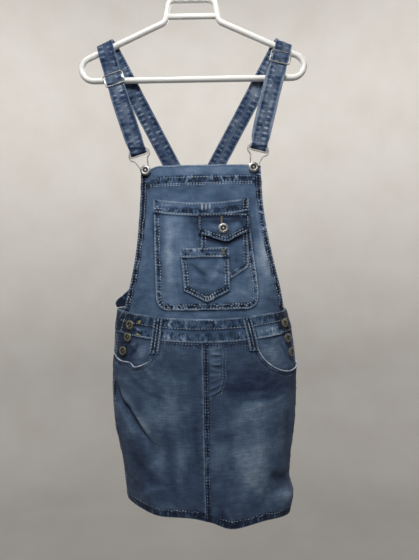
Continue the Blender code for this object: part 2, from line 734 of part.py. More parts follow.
def strap_frame(strap):
    """The places that carry a strap: hanger bar, slide and keeper."""
    bar = Vector((strap.bar_x, 0, bar_height(strap.bar_x)))
    button = bib_sheet(strap.button_x, strap.button_z)
    keeper = Vector((strap.keeper_x, button.y - HOOK_LIFT + KEEPER_BEHIND, strap.keeper_z))
    part = (bar.z - strap.slide_z) / (bar.z - keeper.z)
    slide = Vector((strap.slide_x, -WRAP + (keeper.y + WRAP) * part, strap.slide_z))
    return bar, slide, keeper


def lean(start, end):
    """The tilt of a strap's width, square to the way from start down to end."""
    return math.atan2(end.x - start.x, start.z - end.z)


def strap_stations(strap):
    """Stations from the sewn end behind the slide, round the keeper, over the hanger, to the yoke."""
    bar, slide, keeper = strap_frame(strap)
    along_bar = Vector((1, 0, bar_height(strap.bar_x + 1) - bar.z)).normalized()
    up = Vector((-along_bar.z, 0, along_bar.x))
    inward = along_bar * math.copysign(BACK_SHIFT, -strap.bar_x)
    front = bar + Vector((0, -WRAP, 0))
    behind = bar + Vector((0, WRAP, 0)) + inward
    yoke = Vector((strap.yoke_x, YOKE_TOP_DEPTH, YOKE_TOP + GAP))
    low, high, back = tilted(lean(slide, keeper)), tilted(lean(front, slide)), tilted(lean(behind, yoke))
    half, loop_half = STRAP_WIDTH / 2, FOLD_WIDTH / 2
    drift = low * strap.drift       # the rear ply of the pair lies this far to one side

    def at(anchor, down, out):
        way = (keeper - slide).normalized() if down > 0 or anchor is keeper else (slide - front).normalized()
        toward = low.cross(way).normalized()
        toward = toward if toward.y < 0 else -toward
        return anchor + way * down + toward * out

    joined_high, joined_low = at(slide, LAP_JOINED, -PLY_PAIR), at(keeper, -LOOP_JOINED, -PLY_PAIR)
    sewn_end = [at(slide, -SEWN_END, -PLY), at(slide, SLIDE_HALF_HEIGHT, -PLY - 2 * PLY_PAIR),
                joined_high + drift * 0.7, joined_high.lerp(joined_low, 0.5) + drift,
                joined_low + drift * 0.7]
    turn = [at(keeper, -LOOP_OPEN, -PLY)]
    turn += [at(keeper, PLY * math.sin(angle), -PLY * math.cos(angle))
             for angle in np.radians([0, 36, 72, 108, 144, 180])]
    turn.append(at(keeper, -LOOP_OPEN, PLY))
    front_ply = [at(keeper, -LOOP_JOINED, PLY_PAIR), at(slide, LAP_JOINED, PLY_PAIR),
                 at(slide, SLIDE_HALF_HEIGHT, -PLY), at(slide, 0, PLY)]
    stations = [Station(point, low, half) for point in sewn_end]
    stations += [Station(point, low, loop_half) for point in turn]
    stations += [Station(point, low, half) for point in front_ply]
    under = slide - (slide - front).normalized() * SLIDE_HALF_HEIGHT
    stations.append(Station(under + Vector((0, PLY, 0)), (low + high).normalized(), half))
    if (front - under).length > SHORT_RUN:
        stations.append(Station(front.lerp(under, 0.5), high, half))

    skew_front, skew_back = math.asin(high.dot(up)), -math.asin(back.dot(up))
    for angle in np.radians(range(-90, 91, 15)):
        part = angle / math.pi + 0.5
        skew = skew_front + (skew_back - skew_front) * part
        rise, depth = (WRAP + PERCH) * math.cos(angle), WRAP * math.sin(angle)
        round_bar = Vector((0, WRAP * math.cos(angle), 0)) - up * (WRAP + PERCH) * math.sin(angle)
        round_bar.normalize()
        point = bar + up * rise + Vector((0, depth, 0)) + inward * part
        stations.append(Station(point, along_bar * math.cos(skew) + round_bar * math.sin(skew), half))
    for part in (0.25, 0.5, 0.75, 0.95):
        stations.append(Station(behind.lerp(yoke, part), back, half))
    stations.append(Station(yoke, Vector((1, 0, 0)), half / back.x))
    return stations


def fill_in(stations, longest=9.0):
    """More stations on a smooth curve through the given ones."""
    filled = []
    for index in range(len(stations) - 1):
        a, b = stations[index], stations[index + 1]
        before = stations[max(index - 1, 0)].point
        after = stations[min(index + 2, len(stations) - 1)].point
        length = (b.point - a.point).length
        leave = (b.point - before).normalized() * length
        arrive = (after - a.point).normalized() * length
        steps = max(1, math.ceil(length / longest))
        for step in range(steps):
            t = step / steps
            point = (a.point * (2 * t ** 3 - 3 * t ** 2 + 1) + leave * (t ** 3 - 2 * t ** 2 + t)
                     + b.point * (3 * t ** 2 - 2 * t ** 3) + arrive * (t ** 3 - t ** 2))
            across = a.across.lerp(b.across, t).normalized()
            filled.append(Station(point, across, a.half + (b.half - a.half) * t))
    filled.append(stations[-1])
    return filled


def make_strap(strap):
    stations = fill_in(strap_stations(strap))
    points = []
    for index, station in enumerate(stations):
        along = stations[min(index + 1, len(stations) - 1)].point - stations[max(index - 1, 0)].point
        over = along.cross(station.across).normalized() * STRAP_THICK / 2
        wide = station.across * station.half
        points += [station.point - wide - over, station.point + wide - over,
                   station.point + wide + over, station.point - wide + over]
    faces = [(3, 2, 1, 0), tuple(range(len(points) - 4, len(points)))]
    for index in range(len(stations) - 1):
        first = index * 4
        for corner in range(4):
            beyond = (corner + 1) % 4
            faces.append((first + corner, first + beyond, first + 4 + beyond, first + 4 + corner))
    add_object("strap_" + strap.side, points, faces, "strap_denim")


def make_slide(strap):
    _, slide, keeper = strap_frame(strap)
    down = (keeper - slide).normalized()
    across = tilted(lean(slide, keeper))
    corners = [(slide + across * SLIDE_HALF_WIDTH * i + down * SLIDE_HALF_HEIGHT * j, SLIDE_CORNER)
               for i, j in ((-1, -1), (1, -1), (1, 1), (-1, 1))]
    frame = tube("slide_" + strap.side, rounded(corners, True, 3), WIRE, "nickel", 8, True)
    ends = [slide - across * SLIDE_HALF_WIDTH, slide + across * SLIDE_HALF_WIDTH]
    bar = tube("slide_bar_" + strap.side, ends, THIN_WIRE, "nickel", 8)
    weld(frame, [bar])


def make_keeper(strap):
    """A wire frame: its upper bar lies in the strap's loop, its lower one in front of the hook."""
    _, slide, keeper = strap_frame(strap)
    down = (keeper - slide).normalized()
    across = tilted(lean(slide, keeper))
    low = keeper + down * KEEPER_DROP + Vector((0, -KEEPER_FORWARD, 0))
    wide = across * KEEPER_HALF_WIDTH
    corners = [(point, KEEPER_CORNER) for point in (keeper - wide, keeper + wide, low + wide, low - wide)]
    tube("keeper_" + strap.side, rounded(corners, True, 3), THIN_WIRE, "nickel", 6, True)


def make_hook(strap):
    """A wire loop: wide in the strap's fold, and narrow round the button's shank."""
    _, _, keeper = strap_frame(strap)
    button = lifted(bib_sheet, strap.button_x, strap.button_z, HOOK_LIFT, 0.5)
    down = button - keeper
    reach = down.length
    down.normalize()
    across = tilted(lean(keeper, button))
    right = [(keeper + across * point.across + down * point.down, point.radius) for point in HOOK_OUTLINE]
    left = [(keeper - across * point.across + down * point.down, point.radius)
            for point in reversed(HOOK_OUTLINE)]
    end = [(keeper + across * HOOK_END * side + down * (reach + HOOK_END), HOOK_END_CORNER)
           for side in (1, -1)]
    tube("hook_" + strap.side, rounded(right + end + left, True, 3), WIRE, "nickel", 6, True)


def make_button(name, surface, p, q, p_step, radius, seat, underside):
    """A turned button: a shank on the cloth and a dished head above it."""
    base = lifted(surface, p, q, 0.0, p_step)
    axis = (lifted(surface, p, q, 1.0, p_step) - base).normalized()
    shank = SHANK if radius == BIB_BUTTON else SIDE_SHANK
    profile = [(0.0, seat + GAP), (shank, seat + GAP), (shank, underside)]
    profile += [(radius * share, underside + height) for share, height in BUTTON_FACE]
    work = bmesh.new()
    rotation = Vector((0, 0, 1)).rotation_difference(axis)
    verts = [work.verts.new(rotation @ Vector((reach, 0, height)) + base) for reach, height in profile]
    edges = [work.edges.new(pair) for pair in zip(verts, verts[1:])]
    bmesh.ops.spin(work, geom=verts + edges, cent=base, axis=axis, angle=2 * math.pi, steps=14)
    bmesh.ops.remove_doubles(work, verts=work.verts, dist=0.01)
    points = [vert.co.copy() for vert in work.verts]
    faces = [tuple(vert.index for vert in face.verts) for face in work.faces]
    work.free()
    add_object(name, points, faces, "nickel", 30.0)


def make_buttons():
    for strap in STRAPS:
        make_button("bib_button_" + strap.side, bib_sheet, strap.button_x, strap.button_z, 0.5,
                    BIB_BUTTON, OUTER, HOOK_LIFT + WIRE + 3 * GAP)
    x, z = FLAP_BUTTON
    flap_top = flap_level(x, z) + FLAP_THICK
    make_button("flap_button", bib_sheet, x, z, 0.5, BIB_BUTTON, flap_top, flap_top + 4 * GAP)
    for button in SIDE_BUTTONS:
        make_button(button.name, body, turn_at(button.x, button.z), button.z, 0.002, SIDE_BUTTON,
                    button.seat, BAND_OUTER + 2 * GAP)


# ---------------------------------------------------------------- the hanger

def make_hanger():
    right = [((corner.x, 0, corner.z), corner.radius) for corner in HANGER]
    left = [((-corner.x, 0, corner.z), corner.radius) for corner in reversed(HANGER)]
    loop = tube("hanger", rounded(right + left, True, 5), TUBE, "white_plastic", 12, True)
    ends = [(-CROSSBAR_HALF, 0, CROSSBAR_Z), (CROSSBAR_HALF, 0, CROSSBAR_Z)]
    crossbar = tube("hanger_crossbar", ends, CROSSBAR_TUBE, "white_plastic")
    reach = HOOK_INSIDE + HOOK_TUBE
    arc = [Vector((reach * math.cos(angle), 0, reach * math.sin(angle) - HOOK_INSIDE))
           for angle in np.radians(np.linspace(HOOK_TIP, HOOK_TURN, 22))]
    foot = Vector((0, 0, HANGER[0].z))
    bend = Vector((0, 0, foot.z + NECK_BEND))
    neck = [arc[-1].lerp(bend, t).lerp(bend.lerp(foot, t), t) for t in (0.25, 0.5, 0.75, 1.0)]
    hook = tube("hanger_hook", arc + neck, HOOK_TUBE, "white_plastic")
    weld(loop, [crossbar, hook])


def main():
    clear_scene()
    make_hanger()
    for strap in STRAPS:
        make_strap(strap)
        make_slide(strap)
        make_keeper(strap)
        make_hook(strap)
    make_bib()
    make_large_pocket()
    make_patch_and_flap()
    make_small_pocket()
    make_buttons()
    make_waistband()
    make_fronts()
    make_facings()
    make_plackets()
    make_belt_loops()
    make_backs()
    make_yoke()


main()
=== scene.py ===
# %% [markdown]
# # A denim dungaree dress on a hanger
# A bib dress hangs by its two straps on a white plastic hanger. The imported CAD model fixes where
# every part is. This lesson turns its plain solids into cloth, wire and plastic: each cloth part
# becomes a thin sheet with folds, puckered seams and stitches, and each finish gets a material.

# %% Load the fixed frame
import heapq
import math
from collections import namedtuple

import bmesh
import bpy
import numpy as np
from mathutils import Matrix, Vector
from mathutils.bvhtree import BVHTree
from mathutils.kdtree import KDTree


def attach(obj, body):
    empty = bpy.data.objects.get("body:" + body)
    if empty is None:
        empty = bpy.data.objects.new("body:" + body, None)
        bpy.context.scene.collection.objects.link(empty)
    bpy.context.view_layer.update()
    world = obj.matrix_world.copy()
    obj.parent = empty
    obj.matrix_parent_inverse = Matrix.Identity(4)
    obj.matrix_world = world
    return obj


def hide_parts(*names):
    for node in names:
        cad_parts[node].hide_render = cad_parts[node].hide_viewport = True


MM = 0.001
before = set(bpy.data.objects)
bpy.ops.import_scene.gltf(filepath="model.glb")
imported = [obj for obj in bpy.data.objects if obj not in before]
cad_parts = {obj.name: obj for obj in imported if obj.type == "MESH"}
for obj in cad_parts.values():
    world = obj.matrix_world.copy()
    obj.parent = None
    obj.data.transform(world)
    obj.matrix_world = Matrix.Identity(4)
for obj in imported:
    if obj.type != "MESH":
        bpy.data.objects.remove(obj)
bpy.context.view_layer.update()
print("the frame holds", len(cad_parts), "parts")

# %% [markdown]
# ## The camera
# The dress is seen from straight in front, from close by, with a wide lens, and the camera leans
# by one degree. It is turned about its own line of sight first and then raised to look level.

# %% Camera
CAMERA_PLACE = (0.0235, -0.762, -0.5644)
LENS = 27.06            # mm, on a 36 mm sensor whose long side is upright
CAMERA_ROLL = -1.0      # degrees
camera = bpy.data.objects.new("camera", bpy.data.cameras.new("camera"))
bpy.context.collection.objects.link(camera)
camera.data.lens = LENS
camera.location = CAMERA_PLACE
level_view = Matrix.Rotation(math.radians(90), 4, "X")
camera.rotation_euler = (level_view @ Matrix.Rotation(math.radians(CAMERA_ROLL), 4, "Z")).to_euler()
bpy.context.scene.camera = camera
print("a lens of", LENS, "mm sees", round(math.degrees(camera.data.angle)), "degrees upright")

# %% [markdown]
# ## Working by hand, in code
# An operator acts on all that is selected, so each step first selects one object and nothing
# else. In edit mode, faces are picked by a test on their middle and their normal.

# %% Selecting
def alone(piece):
    """Makes a piece the only selected and active object."""
    bpy.ops.object.select_all(action="DESELECT")
    piece.select_set(True)
    bpy.context.view_layer.objects.active = piece


def pick_faces(piece, test):
    """In edit mode: selects the faces whose middle and normal pass the test."""
    bpy.ops.mesh.select_mode(type="FACE")
    bpy.ops.mesh.select_all(action="DESELECT")
    work = bmesh.from_edit_mesh(piece.data)
    for face in work.faces:
        face.select_set(bool(test(face.calc_center_median(), face.normal)))
    bmesh.update_edit_mesh(piece.data)


def apply_modifier(piece, kind, **settings):
    """Adds a modifier, sets it and applies it."""
    alone(piece)
    modifier = piece.modifiers.new(kind.lower(), kind)
    for key, value in settings.items():
        setattr(modifier, key, value)
    bpy.ops.object.modifier_apply(modifier=modifier.name)


def finish_piece(piece, material, nodes, angle=40.0):
    """Gives a finished piece its material, its smooth shading and its place in the frame."""
    alone(piece)
    bpy.ops.object.shade_smooth_by_angle(angle=math.radians(angle))
    piece.data.materials.clear()
    piece.data.materials.append(material)
    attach(piece, "root")
    if nodes:
        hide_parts(*nodes)


# %% [markdown]
# ## Places on the cloth
# A fold or a seam is easiest to place on the cloth as it was cut, so each part has two flat
# coordinates in millimetres. On the bib they are x and z. The skirt is a tube: its first
# coordinate runs round it from the centre front, 186 mm for each quarter, and the second is z.
# On the back yoke x runs the other way, because it is seen from behind.

# %% Flat coordinates
Level = namedtuple("Level", "z centre half front back")
TUBE = np.array([Level(-985, 17, 143, 76, 27), Level(-942, 17, 149, 76, 29),
                 Level(-890, 13, 150, 73, 31), Level(-815, 10, 162, 69, 31),
                 Level(-735, 10, 166, 65, 30), Level(-660, 10, 160, 62, 28),
                 Level(-615, 7, 152, 58, 25)], dtype=float)
QUARTER = 186.0
HIP_HALF, HIP_DEPTH = 166, 66       # the tube's half width and its depth in front, at the hip
RIGHT_ANGLE = math.pi / 2
ANGLES = np.linspace(0, RIGHT_ANGLE, 200)
strides = np.hypot(HIP_HALF * np.diff(np.sin(ANGLES)), HIP_DEPTH * np.diff(np.cos(ANGLES)))
arc = np.concatenate([[0], np.cumsum(strides)])
ARC_SHARE = arc / arc[-1]


def tube_section(z):
    return [np.interp(z, TUBE[:, 0], TUBE[:, column]) for column in (1, 2, 3, 4)]


def tube_flat(points, back=False):
    """Distance round the tube and height of points in millimetres."""
    centre, half, front, behind = tube_section(points[:, 2])
    depth = np.where(points[:, 1] < 0, front, behind)
    angle = np.arctan2((points[:, 0] - centre) / half, -points[:, 1] / depth)
    if back:
        angle = np.where(angle < 0, angle + 2 * math.pi, angle)
    way = np.where(angle > math.pi, 2 * math.pi - angle, np.abs(angle))
    near = np.where(way > RIGHT_ANGLE, math.pi - way, way)
    turn = np.interp(near, ANGLES, ARC_SHARE)
    turn = np.where(way > RIGHT_ANGLE, 2 - turn, turn)
    turn = np.where(angle > math.pi, 4 - turn, np.where(angle < 0, -turn, turn))
    return np.stack([turn * QUARTER, points[:, 2]], axis=1)


def tube_ray(a, z):
    """A start outside the tube, and the way in, for a place on it."""
    turn = a / QUARTER
    way = abs(turn) if turn <= 2 else 4 - turn
    angle = np.interp(way if way <= 1 else 2 - way, ARC_SHARE, ANGLES)
    angle = angle if way <= 1 else math.pi - angle
    angle = -angle if turn < 0 or turn > 2 else angle
    centre, half, front, behind = tube_section(z)
    depth = front if math.cos(angle) > 0 else behind
    out = Vector((half * math.sin(angle), -depth * math.cos(angle), 0))
    return Vector((centre, 0, z)) + out * 2, -out.normalized()


# How a family of parts turns points into flat coordinates, finds a flat place again, and faces out
Family = namedtuple("Family", "flat ray outward")
BIB = Family(lambda points: points[:, [0, 2]],
             lambda a, z: (Vector((a, -300, z)), Vector((0, 1, 0))),
             lambda middle: Vector((0, -1, 0)))
YOKE = Family(lambda points: points[:, [0, 2]] * [-1, 1],
              lambda a, z: (Vector((-a, 300, z)), Vector((0, -1, 0))),
              lambda middle: Vector((0, 1, 0)))


def out_of_tube(middle):
    centre, half, front, behind = tube_section(middle.z / MM)
    depth = front if middle.y < 0 else behind
    return Vector(((middle.x / MM - centre) / half ** 2, middle.y / MM / depth ** 2, 0)).normalized()


RIBBON = Family(None, None, lambda middle: Vector((0, -1, 0)))
FRONT = Family(tube_flat, tube_ray, out_of_tube)
BACK = Family(lambda points: tube_flat(points, True), tube_ray, out_of_tube)
print("a quarter of the hip is", round(arc[-1]), "mm round and is counted as", QUARTER)


# %% [markdown]
# ## Uneven cloth
# Nothing on worn denim repeats exactly. One table of seeded random heights, read with soft steps
# between its entries, gives swells of any size and is the same on each run.

# %% Seeded swells
TABLE, FIRST = 64, 9    # entries each way, and the entry at the flat origin


def swells(a, b, size, seed):
    """Smooth heights from -1 to 1, one size apart."""
    table = np.random.default_rng(seed).uniform(-1, 1, (TABLE, TABLE))
    i, j = np.asarray(a) / size + FIRST, np.asarray(b) / size + FIRST
    i0, j0 = np.floor(i).astype(int), np.floor(j).astype(int)
    s, t = i - i0, j - j0
    s, t = s * s * (3 - 2 * s), t * t * (3 - 2 * t)
    i0, i1, j0, j1 = i0 % TABLE, (i0 + 1) % TABLE, j0 % TABLE, (j0 + 1) % TABLE
    low = table[i0, j0] * (1 - s) + table[i1, j0] * s
    high = table[i0, j1] * (1 - s) + table[i1, j1] * s
    return low * (1 - t) + high * t


def bell(distance, width):
    """Falls off softly from 1 at no distance."""
    return np.exp(-(distance / width) ** 2)


def ramp(value, low, high):
    """Rises softly from 0 at low to 1 at high."""
    share = np.clip((value - low) / (high - low), 0, 1)
    return share * share * (3 - 2 * share)


print("swells along a line:", swells(np.arange(0, 50, 10), 0, 24, 11).round(2))


# %% [markdown]
# ## Folds and fades
# The folds are placed one by one: each is a line on the cloth with a width and a height, a ridge
# where it is above 0 and a trough where it is below. A fade is a soft patch where washing and wear
# took the indigo off, or, below 0, where a hollow kept it.
# Some fades are painted light instead: painted shade in folds, hollows and on sides that turn away from
# the light, and painted highlights on a few ridges.

# %% Folds, fades and painted shade of the bib
# Both are in millimetres, and a fade's lean is in degrees
Crease = namedtuple("Crease", "name path width height")
Fade = namedtuple("Fade", "name a z wide tall lean strength")
BIB_CREASES = [
    Crease("upright fold on the pocket", [(-3, -448), (-3, -480), (4, -508)], 4.5, -1.6),
    Crease("swell left of it", [(-24, -452), (-22, -500), (-16, -540)], 9, 1.3),
    Crease("pocket, long fold", [(-44, -446), (-45, -520), (-42, -596)], 10, 1.5),
    Crease("beside it", [(-58, -470), (-57, -530), (-53, -590)], 5, -1.2),
    Crease("under the small pocket", [(-30, -560), (-18, -590), (-8, -612)], 7, -1.4),
    Crease("bib, right side", [(114, -420), (121, -500), (131, -590)], 7, 1.4),
    Crease("bib, right trough", [(104, -440), (109, -520), (118, -600)], 4.5, -1.1),
    Crease("bib, left side", [(-82, -430), (-86, -500), (-98, -590)], 6, 1.2),
    Crease("pull to the left button", [(-70, -384), (-40, -396), (-8, -402)], 6, 1.0),
    Crease("pull to the right button", [(88, -384), (60, -398), (34, -404)], 6, 1.1),
    Crease("between the buttons", [(-50, -408), (4, -413), (58, -407)], 5, -0.9),
    Crease("small pocket, slanting", [(-14, -536), (8, -556), (30, -590)], 5, -1.3),
    Crease("small pocket, slanting back", [(46, -530), (34, -552), (24, -572)], 5, 1.1),
    Crease("small pocket, slanting on", [(-8, -536), (6, -552), (22, -562)], 3.6, -2.0),
    Crease("small pocket, pinch", [(30, -548), (40, -556), (50, -556)], 3.4, -1.6),
    Crease("small pocket, low swell", [(6, -580), (20, -576), (36, -584)], 4.5, 1.4),
    Crease("small pocket, low", [(-16, -572), (6, -580), (30, -582)], 4, 0.9),
    Crease("patch, upright", [(70, -505), (68, -540), (60, -562)], 4.5, -1.0),
    Crease("right of the patch", [(96, -470), (98, -520), (101, -560)], 4.5, -1.2),
    Crease("pocket foot, right", [(64, -580), (84, -590), (98, -606)], 5, 1.2),
    Crease("bib foot, left", [(-112, -618), (-100, -600), (-84, -588)], 6, -1.3),
    Crease("bib foot, right", [(144, -612), (130, -600), (116, -594)], 6, -1.3),
]
BIB_FADES_AND_SHADE = [
    Fade("plain top", 12, -373, 90, 9, 0, 0.34),
    Fade("over the pocket", 12, -410, 90, 8, 0, 0.20),
    Fade("top left corner", -84, -372, 12, 9, 0, 0.25),
    Fade("top right corner", 104, -372, 12, 9, 0, 0.32),
    Fade("facing strip", 12, -390, 100, 7, 0, -0.10),
    Fade("pocket, long fade", -43, -510, 11, 62, 0, 0.34),
    Fade("pocket, light spot", -22, -568, 8, 24, 0, 0.16),
    # Painted shade in the pocket's upright fold.
    Fade("pocket, dark fold", -1, -480, 5, 28, 0, -0.22),
    # Painted light and fading: the bib is made brighter to the right of the pocket.
    Fade("bib right of the pocket", 117, -510, 15, 85, -5, 0.78),
    Fade("bib left of the pocket", -86, -520, 9, 50, 3, -0.03),
    Fade("pocket, low left", -50, -570, 16, 30, 0, 0.02),
    Fade("flap, left of the button", 30, -478, 7, 5, 0, 0.34),
    Fade("flap, right of the button", 66, -476, 8, 5, 0, 0.46),
    # Painted shade under the flap's fold.
    Fade("flap, under its fold", 48, -467, 50, 5, 0, -0.46),
    Fade("band, right part", 66, -434, 46, 9, 0, -0.28),
    Fade("band, left part", -38, -430, 30, 5, 0, 0.22),
    Fade("under the pocket", 20, -622, 120, 6, 0, 0.20),
    Fade("band", 10, -434, 70, 7, 0, 0.10),
    Fade("pocket foot, right", 80, -585, 20, 16, 0, 0.16),
    Fade("pocket foot, left", -48, -602, 18, 8, 0, 0.06),
    Fade("pocket beside the patch", -4, -520, 9, 30, 0, 0.06),
    Fade("left foot", -104, -600, 12, 16, 0, 0.12),
    Fade("small pocket, heart", 18, -552, 22, 16, 0, 0.04),
    Fade("patch, heart", 66, -520, 12, 22, 0, 0.08),
    Fade("small pocket, rub 1", 8, -542, 6, 4, 0, 0.16),
    Fade("small pocket, rub 2", 34, -557, 7, 5, 0, 0.14),
    Fade("small pocket, rub 3", 42, -538, 5, 8, 0, 0.10),
    Fade("small pocket, low", 14, -582, 12, 6, 0, -0.12),
    Fade("band, light left end", -56, -443, 10, 3, 0, 0.26),
]
print("the bib has", len(BIB_CREASES), "folds and", len(BIB_FADES_AND_SHADE), "fades_and_shades")

# %% [markdown]
# The skirt's long slanting folds come from the thighs, which pull the cloth when its wearer sits,
# and the whiskers beside the fly from the hips. The back has simpler folds of its own.

# %% Folds, fades and painted shade of the skirt
SKIRT_CREASES = [
    Crease("left thigh, long trough", [(-172, -735), (-156, -752), (-137, -777), (-119, -799),
                                        (-102, -823), (-91, -843)], 4.0, -3.6),
    Crease("ridge above it", [(-150, -740), (-124, -776), (-104, -802), (-82, -832)], 8, 2.6),
    Crease("ridge below it", [(-168, -766), (-148, -794), (-120, -832)], 8, 2.0),
    Crease("second trough", [(-130, -724), (-96, -748), (-60, -772)], 4.5, -1.6),
    Crease("left thigh, upright", [(-60, -790), (-64, -850), (-58, -908)], 7, -1.6),
    Crease("left low hollow", [(-140, -850), (-112, -884), (-90, -912)], 9, -2.2),
    Crease("left hem ridge", [(-128, -930), (-96, -914), (-64, -900)], 7, 1.8),
    Crease("left front swell", [(-46, -800), (-40, -860), (-46, -930)], 9, 1.8),
    Crease("beside the seam, left", [(-16, -770), (-14, -830), (-10, -900)], 6, -1.5),
    Crease("ripple under the fly", [(18, -744), (60, -752), (120, -748)], 5, -1.4),
    Crease("whisker 1, right", [(30, -716), (76, -722), (120, -732)], 3.6, -1.0),
    Crease("whisker 2, right", [(26, -730), (70, -736), (112, -742)], 3.6, 0.9),
    Crease("whisker 3, right", [(40, -764), (90, -768), (150, -764)], 4.2, -1.0),
    Crease("whisker 4, right", [(60, -780), (110, -776), (160, -760)], 4.6, 1.1),
    Crease("right thigh, long swell", [(80, -780), (92, -850), (84, -930)], 16, 1.6),
    Crease("right thigh, trough", [(44, -800), (46, -860), (56, -930)], 8, -1.6),
    Crease("right hem hollow", [(112, -892), (136, -908), (166, -916)], 8, -3.0),
    Crease("right hem roll", [(118, -930), (142, -936), (172, -940)], 8, 2.4),
    Crease("right edge, upright", [(150, -780), (150, -840), (158, -890)], 7, -1.8),
    Crease("corner turned up", [(24, -936), (34, -952), (42, -972)], 5, 2.2),
    Crease("beside the corner", [(14, -930), (20, -950), (24, -966)], 4, -1.6),
    Crease("left hip, pull", [(-100, -716), (-80, -728), (-52, -734)], 5, 1.3),
    Crease("right hip, pull", [(100, -690), (74, -704), (50, -708)], 5, 1.0),
    Crease("left facing, long fold", [(-112, -668), (-118, -682), (-132, -696)], 3.0, -2.4),
    Crease("left facing, swell", [(-100, -670), (-104, -684), (-108, -698)], 6, 1.6),
    Crease("left facing, end", [(-130, -668), (-142, -676), (-156, -676)], 2.8, 1.8),
    Crease("right facing, swell", [(104, -676), (118, -690), (128, -708)], 7, 1.6),
    Crease("right facing, fold", [(138, -672), (146, -690), (152, -706)], 3.2, -2.0),
    Crease("back, left trough", [(520, -745), (470, -790), (436, -842)], 5, -2.6),
    Crease("back, left ridge", [(534, -770), (484, -816), (452, -862)], 8, 2.0),
    Crease("back, right trough", [(226, -760), (262, -802), (300, -850)], 5, -2.4),
    Crease("back, right ridge", [(214, -790), (250, -832), (284, -880)], 8, 1.9),
    Crease("back, under the waist 1", [(330, -690), (300, -704), (262, -706)], 5, -1.4),
    Crease("back, under the waist 2", [(410, -688), (446, -702), (486, -700)], 5, -1.5),
    Crease("seat, left", [(400, -720), (440, -748), (480, -752)], 8, 1.6),
    Crease("seat, right", [(344, -722), (306, -748), (270, -756)], 8, 1.5),
    Crease("back, upright swell", [(340, -790), (332, -860), (336, -940)], 12, 2.2),
    Crease("back, upright trough", [(420, -800), (414, -870), (424, -940)], 9, -1.9),
    Crease("back hem hollow", [(290, -936), (260, -944), (226, -940)], 7, -2.0),
    Crease("back hem roll", [(470, -940), (500, -934), (530, -938)], 7, 1.9),
]
SKIRT_FADES_AND_SHADE = [
    Fade("left thigh, high", -64, -787, 30, 22, 30, 0.34),
    Fade("left thigh, middle", -95, -800, 18, 16, 30, 0.20),
    Fade("left thigh, low", -84, -866, 20, 36, 10, 0.36),
    Fade("left hip", -60, -730, 60, 22, 0, 0.10),
    # Painted shade on the skirt's two sides, which turn away from the light.
    Fade("left edge", -168, -860, 18, 90, 0, -0.34),
    Fade("right edge", 178, -790, 16, 80, 0, -0.34),
    # Painted shade in the low hollow on the left.
    Fade("left low hollow", -118, -868, 24, 34, 20, -0.25),
    Fade("beside the seam", -8, -820, 16, 44, 0, -0.25),
    Fade("right top band", 90, -738, 80, 22, -4, -0.52),
    # Darker towards the bottom left.
    Fade("low left", -60, -912, 70, 24, 0, -0.36),
    Fade("right thigh, high", 84, -792, 36, 26, 0, 0.44),
    Fade("right thigh, middle", 68, -860, 50, 40, 0, 0.48),
    Fade("right thigh, low", 80, -905, 32, 20, 0, 0.34),
    Fade("left facing", -108, -684, 12, 16, 0, 0.50),
    # Painted shade in the left facing's fold and at its end.
    Fade("left facing, fold", -121, -680, 3, 14, 35, -0.45),
    Fade("left facing, end", -148, -680, 20, 30, 0, -0.70),
    Fade("left facing, top", -122, -667, 10, 3, 8, 0.30),
    Fade("left facing, corner", -84, -668, 3, 10, 0, 0.25),
    Fade("right facing", 128, -694, 26, 18, 0, 0.30),
    Fade("right facing, top", 121, -679, 5, 9, -15, 0.20),
    # Painted shade at the right facing's end.
    Fade("right facing, end", 164, -680, 12, 26, 0, -0.50),
    Fade("dark spot", 38, -822, 12, 8, 0, -0.22),
    # Painted shade in the right hem's hollow, and a painted highlight on its roll.
    Fade("right hem hollow", 140, -902, 22, 14, 12, -0.30),
    Fade("right hem roll", 140, -936, 26, 14, 8, 0.24),
    Fade("hem, left patch", -70, -938, 22, 7, 8, 0.30),
    Fade("hem, patch by the seam", -10, -950, 6, 7, 0, 0.35),
    # Painted shadow under the turned-up corner.
    Fade("under the corner", 30, -950, 14, 12, -30, -0.30),
    Fade("right hem patch", 100, -950, 16, 7, 8, 0.16),
    Fade("hip under the left mouth", -110, -730, 30, 8, 0, 0.12),
    Fade("seat, left", 440, -752, 34, 30, 0, 0.28),
    Fade("seat, right", 300, -752, 34, 30, 0, 0.26),
    Fade("back, left thigh", 450, -856, 26, 44, 0, 0.20),
    Fade("back, right thigh", 290, -866, 26, 40, 0, 0.20),
    Fade("back, middle", 372, -820, 20, 60, 0, -0.18),
    # Painted shade where the skirt turns away at its right side.
    Fade("right side", 186, -840, 22, 80, 0, -0.15),
]
FLY_RIPPLES = [(-678, 2, 2.2), (-686, -1, 3.0), (-696, 3, 2.2), (-703, 0, 3.2), (-713, -3, 2.4),
               (-722, 2, 3.0), (-729, 5, 2.2), (-739, 6, 3.2), (-748, 8, 2.6)]
for z, lean, height in FLY_RIPPLES:
    path = [(9, z - lean), (22, z - 1), (35, z + lean)]
    SKIRT_CREASES.append(Crease("fly ripple", path, 2.6, height))
print("the skirt has", len(SKIRT_CREASES), "folds and", len(SKIRT_FADES_AND_SHADE), "fades_and_shades")
